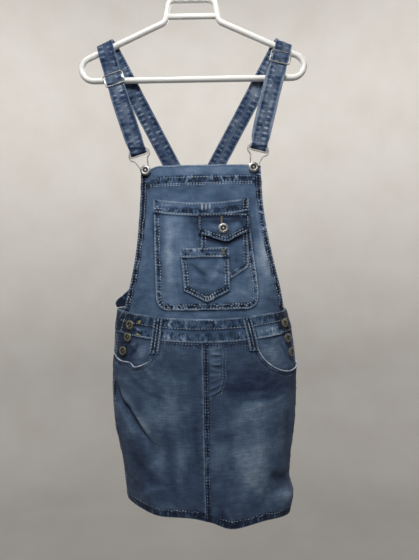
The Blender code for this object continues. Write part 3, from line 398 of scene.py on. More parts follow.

# %% [markdown]
# A waistband is folded where the side buttons pull it, so its two ends are crumpled. Its ends
# turn away from the light and get painted shade, and their crumples painted highlights and shade.

# %% Folds, fades and painted shade of the yoke and the waistband
YOKE_CREASES = [
    Crease("yoke, upright", [(0, -420), (-6, -480), (-10, -540)], 6, -1.0),
    Crease("yoke, left", [(40, -500), (62, -548), (92, -588)], 6, 1.2),
    Crease("yoke, right", [(-46, -500), (-76, -548), (-108, -590)], 6, 1.1),
    Crease("yoke, across", [(-70, -586), (-10, -576), (60, -584)], 6, -1.1),
    Crease("waist lens, pleat 1", [(122, -598), (132, -610), (138, -616)], 3, -0.9),
]
YOKE_FADES_AND_SHADE = [
    Fade("yoke, middle", 0, -520, 40, 40, 0, 0.16),
    Fade("yoke, foot", 0, -596, 100, 12, 0, 0.10),
    # Painted shade on the yoke where it shows at the left waist.
    Fade("waist lens", 134, -602, 22, 16, 0, -0.80),
]
BAND_CREASES = [
    Crease("waistband, left dip", [(-90, -626), (-84, -640), (-86, -656)], 5, -1.2),
    Crease("waistband, left swell", [(-60, -632), (-56, -650), (-58, -664)], 7, 0.9),
    Crease("waistband, middle", [(20, -634), (22, -650), (18, -668)], 6, -0.8),
    Crease("waistband, right swell", [(84, -634), (88, -650), (86, -666)], 7, 0.9),
    Crease("waistband, right dip", [(120, -626), (124, -644), (120, -658)], 5, -1.1),
    Crease("left end, crumple 1", [(-104, -630), (-118, -634), (-136, -631)], 2.6, -1.6),
    Crease("left end, crumple 2", [(-104, -648), (-120, -652), (-140, -646)], 2.8, 1.8),
    Crease("left end, crumple 4", [(-118, -624), (-128, -640), (-126, -656)], 2.4, 1.8),
    Crease("left end, crumple 5", [(-96, -628), (-104, -640), (-100, -652)], 2.6, -1.4),
    Crease("left end, crumple 3", [(-106, -661), (-124, -668), (-142, -664)], 2.6, -1.6),
    Crease("right end, crumple 1", [(150, -628), (158, -642), (158, -660)], 2.6, -1.8),
    Crease("right end, crumple 2", [(143, -650), (158, -654), (172, -650)], 2.6, 1.8),
    Crease("waistband, back dip", [(320, -612), (322, -630), (318, -646)], 6, -1.0),
    Crease("waistband, back swell", [(430, -612), (426, -630), (430, -646)], 8, 1.0),
]
BAND_FADES_AND_SHADE = [
    Fade("lower strip, left", -50, -660, 30, 6, 0, 0.22),
    Fade("lower strip, right", 120, -657, 28, 8, 0, 0.72),
    # Painted shade on the two ends, which turn away from the light.
    Fade("left end, handled", -138, -640, 32, 24, 0, -1.05),
    Fade("right end, handled", 160, -640, 16, 38, 0, -2.00),
    Fade("lower strip, middle", 32, -656, 34, 7, 0, -0.30),
    Fade("middle", 14, -650, 16, 18, 0, -0.12),
    Fade("tab by the left buttons", -122, -630, 6, 7, 0, 0.45),
    # Painted highlights and painted shade on the crumpled ends' folds.
    Fade("left end, pale fold 1", -114, -644, 15, 1.8, 5, 1.10),
    Fade("left end, pale fold 2", -110, -652, 11, 1.8, -20, 1.00),
    Fade("left end, dark fold", -116, -648, 15, 1.5, -4, -0.80),
    Fade("right end, pale fold", 148, -652, 9, 1.6, 14, 0.90),
    Fade("right end, dark fold", 146, -647, 9, 1.6, 10, -0.70),
]
print("the waistband has", len(BAND_CREASES), "folds and", len(BAND_FADES_AND_SHADE), "fades_and_shades")

# %% [markdown]
# ## Reading the tables
# The height at a place is the sum of its folds. Across, a fold falls off as a bell; along, it
# grows and fades over the first and the last third, so that no fold starts with a step. Finer
# swells are added for the cloth's own unevenness. Heights feed the wear too: ridges rub pale.

# %% Height, wear and painted shade
FADE_AND_SHADE_SCALE = 0.5
FOLD_WANDER, FADE_AND_SHADE_WANDER = 3, 6         # mm by which folds and fades stray from their places
FOLD_TAPER = (-0.05, 0.3)               # the share of its length over which a fold grows
# The cloth's own unevenness: the height and the size of the swells, and how drawn out they are
UNEVENNESS = [(0.55, 34, 1.0), (0.30, 15, 1.0), (0.16, 7, 0.8)]


def along_path(a, z, path):
    """Distance from a line through the path's places, and the share of the way along it."""
    best, share = np.full(len(a), 1e9), np.zeros(len(a))
    corners = np.array(path, dtype=float)
    lengths = np.hypot(*np.diff(corners, axis=0).T)
    run = np.concatenate([[0], np.cumsum(lengths)])
    for index, length in enumerate(lengths):
        start, step = corners[index], (corners[index + 1] - corners[index]) / length
        at = np.clip((a - start[0]) * step[0] + (z - start[1]) * step[1], 0, length)
        away = np.hypot(a - start[0] - at * step[0], z - start[1] - at * step[1])
        nearer = away < best
        best = np.where(nearer, away, best)
        share = np.where(nearer, (run[index] + at) / run[-1], share)
    return best, share


def fold_height(flat, creases, seed, rough):
    a, z = flat[:, 0], flat[:, 1]
    bend = swells(a, z, 24, seed) * FOLD_WANDER
    height = np.zeros(len(a))
    for crease in creases:
        away, share = along_path(a + bend, z + bend, crease.path)
        taper = ramp(share, *FOLD_TAPER) * ramp(1 - share, *FOLD_TAPER)
        height += crease.height * bell(away, crease.width) * taper
    uneven = 0.0
    for index, (share, size, drawn) in enumerate(UNEVENNESS):
        uneven += share * swells(a * drawn, z, size, seed + 1 + index)
    return height + rough * uneven


# Sums the fades, with the painted shade and highlights that are listed among them.
def fade_and_shade_strength(flat, fades_and_shades, seed):
    a, z = flat[:, 0], flat[:, 1]
    shift = swells(a, z, 18, seed) * FADE_AND_SHADE_WANDER
    total = np.zeros(len(a))
    for fade_or_shade in fades_and_shades:
        lean = math.radians(fade_or_shade.lean)
        across = (a - fade_or_shade.a + shift) * math.cos(lean) + (z - fade_or_shade.z) * math.sin(lean)
        up = (z - fade_or_shade.z + shift) * math.cos(lean) - (a - fade_or_shade.a) * math.sin(lean)
        total += fade_or_shade.strength * np.exp(-(across / fade_or_shade.wide) ** 2 - (up / fade_or_shade.tall) ** 2)
    return total * FADE_AND_SHADE_SCALE


fold_top = fold_height(np.array([[-43.0, -530.0]]), BIB_CREASES, 11, 1.0)[0]
print("the long fold on the pocket stands", round(float(fold_top), 1), "mm high")


# %% [markdown]
# ## A sheet from a solid
# Each CAD cloth part is a closed wall. Its outer face is picked by one seed face that looks
# outwards, and all that joins it without a sharp edge; the rest is deleted. What is left is an open
# sheet of large cells, which a Subdivision Surface makes smooth and fine enough to fold.

# %% The outer face of a part
SHEET_LEVELS = 3
LOOKS_OUT = 0.8         # the least cosine between a seed face's normal and the way out


def merged_copy(name, node):
    """A copy of a CAD part with its loose triangles joined; it is left in edit mode."""
    piece = bpy.data.objects.new(name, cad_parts[node].data.copy())
    bpy.context.collection.objects.link(piece)
    alone(piece)
    bpy.ops.mesh.customdata_custom_splitnormals_clear()
    bpy.ops.object.mode_set(mode="EDIT")
    bpy.ops.mesh.select_all(action="SELECT")
    bpy.ops.mesh.remove_doubles(threshold=1e-6)
    return piece


def triangles_to_quads():
    """In edit mode, on what is selected: a Subdivision Surface is smoother on quads."""
    bpy.ops.mesh.mark_sharp(clear=True)
    bpy.ops.mesh.tris_convert_to_quads(face_threshold=math.radians(60), shape_threshold=math.radians(60))
    bpy.ops.object.mode_set(mode="OBJECT")


def outer_sheet(node, outward, sharp, one_seed):
    """The faces of a CAD part that look outwards and those level with them, finely subdivided."""
    piece = merged_copy("cloth_" + node, node)
    bpy.ops.mesh.select_mode(type="FACE")
    bpy.ops.mesh.select_all(action="DESELECT")
    work = bmesh.from_edit_mesh(piece.data)
    looking_out = [face for face in work.faces
                   if face.normal.dot(outward(face.calc_center_median())) > LOOKS_OUT]
    if one_seed:
        looking_out = [max(looking_out, key=lambda face: face.calc_area())]
    for face in looking_out:
        face.select_set(True)
    bmesh.update_edit_mesh(piece.data)
    bpy.ops.mesh.faces_select_linked_flat(sharpness=math.radians(sharp))
    bpy.ops.mesh.select_all(action="INVERT")
    bpy.ops.mesh.delete(type="FACE")
    bpy.ops.mesh.select_all(action="SELECT")
    # A sliver that leans too far isn't picked above; the slit that it leaves is closed again
    bpy.ops.mesh.fill_holes(sides=6)
    triangles_to_quads()
    cells = len(piece.data.polygons)
    apply_modifier(piece, "SUBSURF", levels=SHEET_LEVELS, render_levels=SHEET_LEVELS,
                   boundary_smooth="PRESERVE_CORNERS")
    print(piece.name, cells, "cells, then", len(piece.data.polygons))
    return piece


# %% Points in millimetres
def read_points(piece):
    values = np.empty(len(piece.data.vertices) * 3)
    piece.data.vertices.foreach_get("co", values)
    return values.reshape(-1, 3) / MM


def read_normals(piece):
    values = np.empty(len(piece.data.vertices) * 3)
    piece.data.vertices.foreach_get("normal", values)
    return values.reshape(-1, 3)


def write_points(piece, points):
    piece.data.vertices.foreach_set("co", (points * MM).ravel())
    piece.data.update()


# %% [markdown]
# ## The sheet's own edges
# Hems and seams follow edges, so a sheet's border is read as runs from corner to corner. Each
# run knows which side of the piece it is: a side's outward direction is read on the flat cloth.

# %% Border runs
Run = namedtuple("Run", "side points inward")
CORNER = 38.0           # degrees; a border that turns by more has a corner there


def mesh_ways(piece):
    """Each edge as a pair of vertices, in the direction in which each of its faces goes round."""
    ways = set()
    for face in piece.data.polygons:
        ids = list(face.vertices)
        ways.update(zip(ids, ids[1:] + ids[:1]))
    return ways


def border_loops(piece):
    """The sheet's border as lines of vertices, cut at its corners."""
    ways = mesh_ways(piece)
    following = {a: b for a, b in ways if (b, a) not in ways}
    points = read_points(piece)
    lines = []
    while following:
        loop = [min(following)]
        while loop[-1] in following:
            loop.append(following.pop(loop[-1]))
        loop.pop()
        ring = points[loop]
        ahead = np.roll(ring, -1, axis=0) - ring
        ahead /= np.linalg.norm(ahead, axis=1)[:, None] + 1e-9
        turns = np.degrees(np.arccos(np.clip((ahead * np.roll(ahead, 1, axis=0)).sum(axis=1), -1, 1)))
        corners = [int(place) for place in np.nonzero(turns > CORNER)[0]] or [0]
        for index, first in enumerate(corners):
            last = corners[(index + 1) % len(corners)]
            count = (last - first) % len(loop) or len(loop)
            lines.append([loop[(first + step) % len(loop)] for step in range(count + 1)])
    return lines


def border_runs(piece, flat):
    points, normals = read_points(piece), read_normals(piece)
    runs = []
    for ids in border_loops(piece):
        line = points[ids]
        tangent = np.gradient(line, axis=0)
        tangent /= np.linalg.norm(tangent, axis=1)[:, None] + 1e-9
        right, up = flat[ids[-1]][1] - flat[ids[0]][1], flat[ids[0]][0] - flat[ids[-1]][0]
        if abs(right) > abs(up):
            side = "right" if right > 0 else "left"
        else:
            side = "top" if up > 0 else "bottom"
        runs.append(Run(side, line, np.cross(normals[ids], tangent)))
    return runs


def distances(points):
    """How far along a line each of its points is."""
    return np.concatenate([[0], np.cumsum(np.linalg.norm(np.diff(points, axis=0), axis=1))])


# %% [markdown]
# ## A ribbon's own length
# A strap folds back on itself, so a place on it can't be told from x and z. Its first flat
# coordinate is the distance from one long edge, walked over the mesh, and its second is how far
# along that edge the walk began. The walk starts from all of the edge at once.

# %% Flat coordinates of a ribbon
def ribbon_flat(piece):
    points = read_points(piece)
    beside = [[] for _ in points]
    for a, b in mesh_ways(piece):
        beside[a].append(b)
        beside[b].append(a)
    edge = max(border_loops(piece), key=lambda line: distances(points[line])[-1])
    along = distances(points[edge])
    flat = np.full((len(points), 2), 1e9)
    queue = []
    for vertex, length in zip(edge, along):
        flat[vertex] = (0.0, length)
        heapq.heappush(queue, (0.0, vertex))
    while queue:
        away, vertex = heapq.heappop(queue)
        if away > flat[vertex, 0]:
            continue
        for other in beside[vertex]:
            further = away + np.linalg.norm(points[other] - points[vertex])
            if further < flat[other, 0]:
                flat[other] = (further, flat[vertex, 1])
                heapq.heappush(queue, (further, other))
    return flat


# %% [markdown]
# ## Puckers
# A stitched edge shrinks in the wash while the cloth round it doesn't, so it ripples: short
# slanting swells between the edge and its rows of stitches. They are what makes worn denim
# look like denim, because the dye rubs off their tops and stays in their hollows.

# %% Distance from the seams, and the puckers beside them
RUN_SPACING = 50        # mm; so far apart, two runs don't share their puckers
PUCKER_HEIGHT, PUCKER_SLANT, PUCKER_DRAWN = 1.4, 0.2, 0.15
PUCKER_IN, PUCKER_OUT = 2.5, (0.85, 1.3)    # mm in which they rise, shares of their width to end in


def nearest(samples, points):
    """For each point: which sample is nearest, and how far it is."""
    tree = KDTree(len(samples))
    for index, sample in enumerate(samples):
        tree.insert(sample, index)
    tree.balance()
    found = [tree.find(point) for point in points]
    return [hit[1] for hit in found], np.array([hit[2] for hit in found])


def seam_places(points, runs):
    """For each point: how far along the nearest run, and how far from it."""
    reach, start = [], 0.0
    for run in runs:
        along = distances(run.points)
        reach.append(along + start)
        start += along[-1] + RUN_SPACING
    which, away = nearest(np.concatenate([run.points for run in runs]), points)
    return np.concatenate(reach)[which], away


def puckers(along, away, start, width, seed, period):
    wave = PUCKER_HEIGHT * swells(along + away * PUCKER_SLANT, away * PUCKER_DRAWN, period, seed)
    low, high = PUCKER_OUT
    return wave * ramp(away, start, start + PUCKER_IN) * (1 - ramp(away, width * low, width * high))


# %% [markdown]
# ## Stitches
# A stitch is a short fat thread that dips into the cloth at both ends. One is modelled: a small
# cylinder whose ends are extruded and narrowed. It is then copied along each row, 5 mm apart. Real
# stitches here are about 3 mm long with 0.6 mm thread; these are thicker, so that rows can be seen.

# %% One stitch
STITCH_LENGTH, STITCH_PITCH, THREAD = 3.0, 5.0, 0.70    # mm; the last is the thread's radius
STITCH_LIFT = 0.1       # mm
bpy.ops.object.select_all(action="DESELECT")
bpy.ops.mesh.primitive_cylinder_add(vertices=5, radius=THREAD, depth=STITCH_LENGTH * 0.6,
                                    rotation=(0, RIGHT_ANGLE, 0))
stitch = bpy.context.object
bpy.ops.object.transform_apply(location=True, rotation=True, scale=True)
for end in (-1, 1):
    bpy.ops.object.mode_set(mode="EDIT")
    pick_faces(stitch, lambda middle, normal: normal.x * end > 0.9)
    bpy.ops.mesh.extrude_region_move(
        TRANSFORM_OT_translate={"value": (end * STITCH_LENGTH * 0.2, 0, -THREAD * 0.7)})
    bpy.ops.transform.resize(value=(1, 0.6, 0.6))
    bpy.ops.object.mode_set(mode="OBJECT")
STITCH_POINTS = np.array([vertex.co[:] for vertex in stitch.data.vertices])
STITCH_FACES = [tuple(face.vertices) for face in stitch.data.polygons]
bpy.data.objects.remove(stitch)
print("a stitch has", len(STITCH_FACES), "faces")


# %% Rows of stitches
def spread(points, pitch, trim):
    """Places one pitch apart along a line, and the way that it runs there."""
    along = distances(points)
    room = along[-1] - 2 * trim
    if room < pitch:
        return []
    count = int(room / pitch)
    at = trim + (room - count * pitch) / 2 + pitch * (np.arange(count) + 0.5)
    place = np.stack([np.interp(at, along, points[:, axis]) for axis in range(3)], axis=1)
    ahead = np.stack([np.interp(at + 1, along, points[:, axis]) for axis in range(3)], axis=1)
    before = np.stack([np.interp(at - 1, along, points[:, axis]) for axis in range(3)], axis=1)
    return [(spot, way, 1.0) for spot, way in zip(place, ahead - before)]


def lay_stitches(tree, places, fine):
    """Points and faces of one stitch at each place, snapped to the cloth; fine thread is thinner."""
    points, faces = [], []
    for place, way, stretch in places:
        hit, normal, _, _ = tree.find_nearest(Vector(place))
        way = Vector(way)
        way = (way - normal * way.dot(normal)).normalized()
        side = normal.cross(way)
        turn = np.array([way * stretch, side * fine, normal * fine])
        first = len(points) * len(STITCH_POINTS)
        points.append(STITCH_POINTS @ turn + np.array(hit + normal * STITCH_LIFT))
        faces += [tuple(corner + first for corner in face) for face in STITCH_FACES]
    return points, faces


# %% [markdown]
# ## Denim, as a material
# Denim is a twill: blue warp threads float over white weft in slanting lines. Its threads
# vary in thickness, so faint streaks run across it, and its dye is only skin deep, so every
# edge, ridge and pucker goes pale. One ramp of blues does all of this: the wear, painted shade
# and painted highlights stored on the mesh, the streaks, the grain and the pale edge are summed
# first, and the sum picks the blue.

# %% Colours and nodes
def colour(code):
    """An sRGB hex value as linear red, green, blue and alpha."""
    parts = [int(code[start:start + 2], 16) / 255 for start in (1, 3, 5)]
    return (*[part / 12.92 if part <= 0.04045 else ((part + 0.055) / 1.055) ** 2.4
              for part in parts], 1.0)


def add_node(tree, kind, settings=None, **inputs):
    """Adds a node; an input is a value to set or an output to link."""
    node = tree.nodes.new(kind)
    for key, value in (settings or {}).items():
        setattr(node, key, value)
    for key, value in inputs.items():
        socket = node.inputs[int(key[1:])] if key[0] == "i" and key[1:].isdigit() \
            else node.inputs[key.replace("_", " ")]
        if isinstance(value, bpy.types.NodeSocket):
            tree.links.new(value, socket)
        else:
            socket.default_value = value
    return node


def new_material(name):
    material = bpy.data.materials.new(name)
    material.use_nodes = True
    tree = material.node_tree
    return material, tree, tree.nodes["Principled BSDF"]


def set_ramp(node, stops):
    elements = node.color_ramp.elements
    while len(elements) < len(stops):
        elements.new(0.5)
    for element, (position, code) in zip(elements, stops):
        element.position = position
        element.color = colour(code)


# %% The denim
WAVE = 0.314            # the period of a wave texture whose scale is 1
TWILL_LINE = 2.2        # mm; a real twill line is 0.6 mm wide, which is too fine to show from here
TWILL, BLOTCHES, PATCHES = 0.015, 0.42, 0.24    # how much each of them adds to the wear
RIM = (0.3 * MM, 2.2 * MM)                      # from the edge, where the pale rim begins and ends


def noise(tree, place, size, detail):
    """Noise whose swells are size millimetres (across, up) on the cloth."""
    stretched = add_node(tree, "ShaderNodeMapping", i0=place,
                         i3=(1 / size[0] / MM, 1 / size[1] / MM, 1.0))
    return add_node(tree, "ShaderNodeTexNoise", Vector=stretched.outputs[0], Scale=1.0,
                    Detail=detail).outputs[0]


def denim(name, stops, streaks=0.22, grain=0.26, edge=0.26, tucks=1.0, rungs=0.0):
    material, tree, shader = new_material(name)
    cloth = add_node(tree, "ShaderNodeUVMap", {"uv_map": "cloth"}).outputs[0]
    seam = add_node(tree, "ShaderNodeUVMap", {"uv_map": "seam"}).outputs[0]
    # The mesh's wear value carries painted shade and highlights as well as real wear.
    wear_and_shade = add_node(tree, "ShaderNodeAttribute", {"attribute_name": "wear_and_shade"}).outputs["Fac"]
    strip = add_node(tree, "ShaderNodeAttribute", {"attribute_name": "strip"}).outputs["Fac"]
    away = add_node(tree, "ShaderNodeSeparateXYZ", i0=seam).outputs[1]

    weft_streaks = noise(tree, cloth, (20.0, 1.6), detail=3.0)
    warp_streaks = noise(tree, cloth, (1.8, 26.0), detail=2.0)
    blotches = noise(tree, cloth, (32.0, 32.0), detail=4.0)
    patches = noise(tree, cloth, (11.0, 8.0), detail=2.0)
    speckle = noise(tree, cloth, (2.4, 2.0), detail=3.0)
    slant = add_node(tree, "ShaderNodeMapping", i0=cloth, i2=(0, 0, math.radians(-60)),
                     i3=(1 / MM, 1 / MM, 1.0))
    lines = add_node(tree, "ShaderNodeTexWave", Vector=slant.outputs[0], Scale=WAVE / TWILL_LINE,
                     Distortion=1.2, Detail=1.0).outputs[1]
    rim = add_node(tree, "ShaderNodeMapRange", i0=away, i1=RIM[0], i2=RIM[1], i3=1.0, i4=0.0)
    rim_noise = noise(tree, cloth, (12.0, 12.0), detail=2.0)
    rim_break = add_node(tree, "ShaderNodeMath", {"operation": "ADD"}, i0=rim_noise, i1=0.25)
    rim = add_node(tree, "ShaderNodeMath", {"operation": "MULTIPLY"}, i0=rim.outputs[0],
                   i1=rim_break.outputs[0]).outputs[0]

    # Stitches gather the strip into tucks, which the seam's first coordinate counts. The crest of
    # each tuck is rubbed to a thin pale rung.
    tuck_noise = noise(tree, seam, (0.62, 9.0), detail=1.0)
    waves = add_node(tree, "ShaderNodeMapRange", i0=tuck_noise, i1=0.30, i2=0.70, i3=-0.6, i4=0.6)
    tuck_place = add_node(tree, "ShaderNodeMapping", i0=seam, i3=(1 / MM, 0.1 / MM, 1.0))
    rung_lines = add_node(tree, "ShaderNodeTexWave", Vector=tuck_place.outputs[0], Scale=WAVE,
                          Distortion=1.6, Detail=1.0, Detail_Scale=0.8)
    rung_tops = add_node(tree, "ShaderNodeMapRange", i0=rung_lines.outputs[1], i1=0.55, i2=0.98,
                         i3=-0.12, i4=0.75)
    uneven_noise = noise(tree, seam, (3.0, 30.0), detail=2.0)
    uneven = add_node(tree, "ShaderNodeMapRange", i0=uneven_noise, i1=0.36, i2=0.62, i3=0.2, i4=1.0)
    tucked = []
    for shape in (waves, rung_tops):
        for share in (uneven.outputs[0], strip):
            shape = add_node(tree, "ShaderNodeMath", {"operation": "MULTIPLY"}, i0=shape.outputs[0],
                             i1=share)
        tucked.append(shape.outputs[0])
    gathers, crests = tucked

    total = add_node(tree, "ShaderNodeMath", {"operation": "ADD"}, i0=wear_and_shade, i1=0.5).outputs[0]
    parts = [(weft_streaks, 0.5, streaks), (warp_streaks, 0.5, streaks * 0.4),
             (blotches, 0.5, BLOTCHES), (patches, 0.5, PATCHES), (speckle, 0.5, grain),
             (lines, 0.5, TWILL), (rim, 0.0, edge * 2), (gathers, 0.0, tucks), (crests, 0.0, rungs)]
    for source, middle, amount in parts:
        centred = add_node(tree, "ShaderNodeMath", {"operation": "SUBTRACT"}, i0=source, i1=middle)
        total = add_node(tree, "ShaderNodeMath", {"operation": "MULTIPLY_ADD"},
                         i0=centred.outputs[0], i1=amount, i2=total).outputs[0]
    dye = add_node(tree, "ShaderNodeValToRGB", Fac=total)
    set_ramp(dye, stops)
    tree.links.new(dye.outputs[0], shader.inputs["Base Color"])

    relief = 0.0
    for source, amount in ((speckle, 1.2), (lines, 0.45), (weft_streaks, 1.2), (gathers, 3.0)):
        relief = add_node(tree, "ShaderNodeMath", {"operation": "MULTIPLY_ADD"},
                          i0=source, i1=amount, i2=relief).outputs[0]
    bump = add_node(tree, "ShaderNodeBump", Strength=0.6, Distance=0.0006, Height=relief)
    tree.links.new(bump.outputs[0], shader.inputs["Normal"])
    shader.inputs["Roughness"].default_value = 0.88
    shader.inputs["Specular IOR Level"].default_value = 0.25
    shader.inputs["Sheen Weight"].default_value = 0.12
    shader.inputs["Sheen Roughness"].default_value = 0.5
    print(name, "has", len(tree.nodes), "nodes")
    return material


# %% Four washes of denim
BIB_BLUES = [(0.05, "#172238"), (0.28, "#324660"), (0.52, "#526A87"), (0.72, "#7389A4"),
             (0.98, "#B2C0D0")]
SKIRT_BLUES = [(0.05, "#17223A"), (0.28, "#2E3D57"), (0.52, "#465A75"), (0.72, "#677C95"),
               (0.98, "#A2B1C2")]
RAW_BLUES = [(0.05, "#0F1626"), (0.35, "#202B42"), (0.60, "#3A4A65"), (0.98, "#94A2B6")]
STRAP_BLUES = [(0.05, "#17233D"), (0.28, "#304362"), (0.52, "#5D6C80"), (0.75, "#8A95A5"),
               (0.98, "#C3C6CE")]
BIB_DENIM = denim("washed indigo denim", BIB_BLUES)
SKIRT_DENIM = denim("dark washed indigo denim", SKIRT_BLUES, streaks=0.35, grain=0.20, edge=0.18)
RAW_DENIM = denim("unwashed indigo denim", RAW_BLUES, edge=0.3)
STRAP_DENIM = denim("folded denim webbing", STRAP_BLUES, streaks=0.1, grain=0.30, edge=0.16,
                    tucks=0.55, rungs=0.55)

# %% [markdown]
# ## Thread, metal and plastic
# The thread was once blue-grey and has paled unevenly. The wire fittings and bib buttons are
# steel plated with nickel, dulled by handling; the side buttons are the same shape in aged brass.
# The hanger is moulded polypropylene: smooth, white, a little glossy, with faint flow marks.

# %% The other materials
def plain_finish(name, dark, light, roughness, metallic, size, bump_depth, specular=0.5):
    """One colour mottled between two, darkened by painted shade where a mesh marks its recesses, with a
    fine uneven surface, on object coordinates.
    """
    material, tree, shader = new_material(name)
    place = add_node(tree, "ShaderNodeTexCoord").outputs["Object"]
    mottle = add_node(tree, "ShaderNodeTexNoise", Vector=place, Scale=1 / (size * MM), Detail=3.0)
    tint = add_node(tree, "ShaderNodeValToRGB", Fac=mottle.outputs[0])
    set_ramp(tint, [(0.35, dark), (0.65, light)])
    # Painted shade: a mesh may mark recesses to be darkened.
    recess_shade = add_node(tree, "ShaderNodeAttribute", {"attribute_name": "recess_shade"}).outputs["Fac"]
    unshaded_share = add_node(tree, "ShaderNodeMath", {"operation": "SUBTRACT"}, i0=1.0, i1=recess_shade).outputs[0]
    tint = add_node(tree, "ShaderNodeVectorMath", {"operation": "SCALE"}, i0=tint.outputs[0], i3=unshaded_share)
    tree.links.new(tint.outputs[0], shader.inputs["Base Color"])
    fine = add_node(tree, "ShaderNodeTexNoise", Vector=place, Scale=1 / (size * 0.25 * MM), Detail=2.0)
    bump = add_node(tree, "ShaderNodeBump", Strength=0.5, Distance=bump_depth * MM,
                    Height=fine.outputs[0])
    tree.links.new(bump.outputs[0], shader.inputs["Normal"])
    shader.inputs["Roughness"].default_value = roughness
    shader.inputs["Metallic"].default_value = metallic
    shader.inputs["Specular IOR Level"].default_value = specular
    return material


FADED_THREAD = plain_finish("faded blue thread", "#71849A", "#D0D9E1", 0.8, 0.0, 12.0, 0.15, 0.2)
DULL_THREAD = plain_finish("greyed navy thread", "#4C5E78", "#A7B4C1", 0.8, 0.0, 14.0, 0.15, 0.2)
OCHRE_THREAD = plain_finish("ochre buttonhole thread", "#8A7C50", "#B5A672", 0.8, 0.0, 9.0, 0.15, 0.2)
BEIGE_THREAD = plain_finish("greyed beige thread", "#6E695E", "#A39C8C", 0.8, 0.0, 9.0, 0.15, 0.2)
NICKEL = plain_finish("dulled nickel plate", "#8E8D8C", "#BDBBB6", 0.46, 1.0, 4.0, 0.05)
BRASS = plain_finish("aged brass", "#75725F", "#BBB8A6", 0.45, 1.0, 3.0, 0.08)
WHITE_PLASTIC = plain_finish("moulded white polypropylene", "#FAF7F0", "#FDFBF6", 0.32, 0.0, 30.0, 0.06)
print("materials:", [material.name for material in bpy.data.materials])

# %% [markdown]
# ## Sewing a piece
# This is where a piece is made: its sheet is folded by the tables, puckered beside its sewn
# edges, given its flat coordinates and wear, stitched, and at last thickened inwards, so that its
# outer face stays where the CAD has it. Its cut size is measured and printed.
# The wear that a piece is given includes painted shade and painted highlights.

# %% What a sewn edge does to the cloth
PUCKER = 0.7            # how high the ripples rise, as a share of their full height
GROOVE_WIDTH = 1.5      # mm
STRIP_IN, STRIP_OUT = 1.6, (-0.6, 1.4)      # mm from a strip's borders, over which it sets in
# Rows of stitches go along the named sides at these insets; the cloth ripples from start to width
Rows = namedtuple("Rows", "sides insets start width pucker strip", defaults=(0.0, 9.0, PUCKER, 0.24))


def add_uv(mesh, name, per_vertex):
    layer = mesh.uv_layers.new(name=name)
    corners = np.empty(len(mesh.loops), dtype=int)
    mesh.loops.foreach_get("vertex_index", corners)
    layer.data.foreach_set("uv", (per_vertex[corners] * MM).ravel())


def add_values(mesh, name, values):
    layer = mesh.attributes.new(name, "FLOAT", "POINT")
    layer.data.foreach_set("value", values.astype(np.float32))


def seam_effects(points, runs, rows, seed, tuck):
    """What the sewn edges do to the cloth beside them: ripples, grooves and a darker strip."""
    ripple, groove, dark, strip = np.zeros((4, len(points)))
    for index, row in enumerate(rows):
        own = [run for run in runs if run.side in row.sides]
        if own:
            along, away = seam_places(points, own)
            inside = ramp(away, row.start, row.start + STRIP_IN)
            inside = inside * (1 - ramp(away, row.width + STRIP_OUT[0], row.width + STRIP_OUT[1]))
            ripple += row.pucker * puckers(along, away, row.start, row.width, seed + index, tuck)
            dark += row.strip * inside
            strip = np.maximum(strip, inside * min(1.0, row.pucker / PUCKER))
            for inset in row.insets:
                groove = np.maximum(groove, bell(away - inset, GROOVE_WIDTH))
    return ripple, groove, dark, strip


# %% Stitches on a finished sheet
LINE_STEP = 2.0         # mm between the places at which a line is laid on the cloth
SHORT_RUN = 13.0        # mm; a shorter side isn't stitched
MOST_TRIM = 9           # mm that a row stays away from its ends at most


def inset_line(tree, run, inset):
    line = run.points + run.inward * inset
    return np.array([tree.find_nearest(Vector(point))[0][:] for point in line])


def tack(tree, family, middle, count, length, lean, gap=1.9):
    """Long stitches side by side, where a seam must not tear."""
    way = np.array([math.cos(math.radians(lean)), math.sin(math.radians(lean))])
    beside = np.array([way[1], -way[0]])
    laid = []
    for index in range(count):
        at = np.array(middle) + beside * gap * (index - (count - 1) / 2)
        ends = line_on(tree, family, [at - way * length / 2, at + way * length / 2])
        if len(ends) > 1:
            laid.append((ends.mean(axis=0), ends[-1] - ends[0], length / STITCH_LENGTH))
    return laid


def line_on(tree, family, places):
    """A line through flat places, laid on the cloth."""
    corners = np.array(places, dtype=float)
    run = np.concatenate([[0], np.cumsum(np.hypot(*np.diff(corners, axis=0).T))])
    at = np.linspace(0, run[-1], max(2, int(run[-1] / LINE_STEP)))
    line = []
    for a, z in zip(np.interp(at, run, corners[:, 0]), np.interp(at, run, corners[:, 1])):
        start, way = family.ray(a, z)
        hit = tree.ray_cast(start, way)[0]
        if hit is not None:
            line.append(hit[:])
    return np.array(line)


def stitch_piece(name, tree, laid, material, fine=1.0):
    points, faces = lay_stitches(tree, laid, fine)
    mesh = bpy.data.meshes.new(name)
    mesh.from_pydata((np.concatenate(points) * MM).tolist(), [], faces)
    piece = bpy.data.objects.new(name, mesh)
    bpy.context.collection.objects.link(piece)
    finish_piece(piece, material, [])


def stitches_of(tree, family, runs, rows, lines, tacks):
    """The places of all the stitches of a piece: its rows, its lines and its tacks."""
    laid = []
    for row in rows:
        for run in runs:
            if run.side in row.sides and distances(run.points)[-1] > SHORT_RUN:
                for inset in row.insets:
                    laid += spread(inset_line(tree, run, inset), STITCH_PITCH, min(inset, MOST_TRIM))
    for line in lines:
        laid += spread(line_on(tree, family, line), STITCH_PITCH, 0)
    for middle, count, length, lean in tacks:
        laid += tack(tree, family, middle, count, length, lean)
    return laid


# %% Sewing a piece
GROOVE = 0.35           # mm, how deep the thread pulls the cloth in
RIDGE_WEAR, PUCKER_WEAR, GROOVE_WEAR = 0.07, 0.26, -0.07
EDGE_HOLD, STIFF_EDGE = 0.4, 12         # folds keep this share at an edge, and all of it so far in
CALM = (7, 15)          # mm round a calm corner: no ripples, then all of them
trees, edges = {}, {}   # for each sewn part: its folded surface, and its border runs


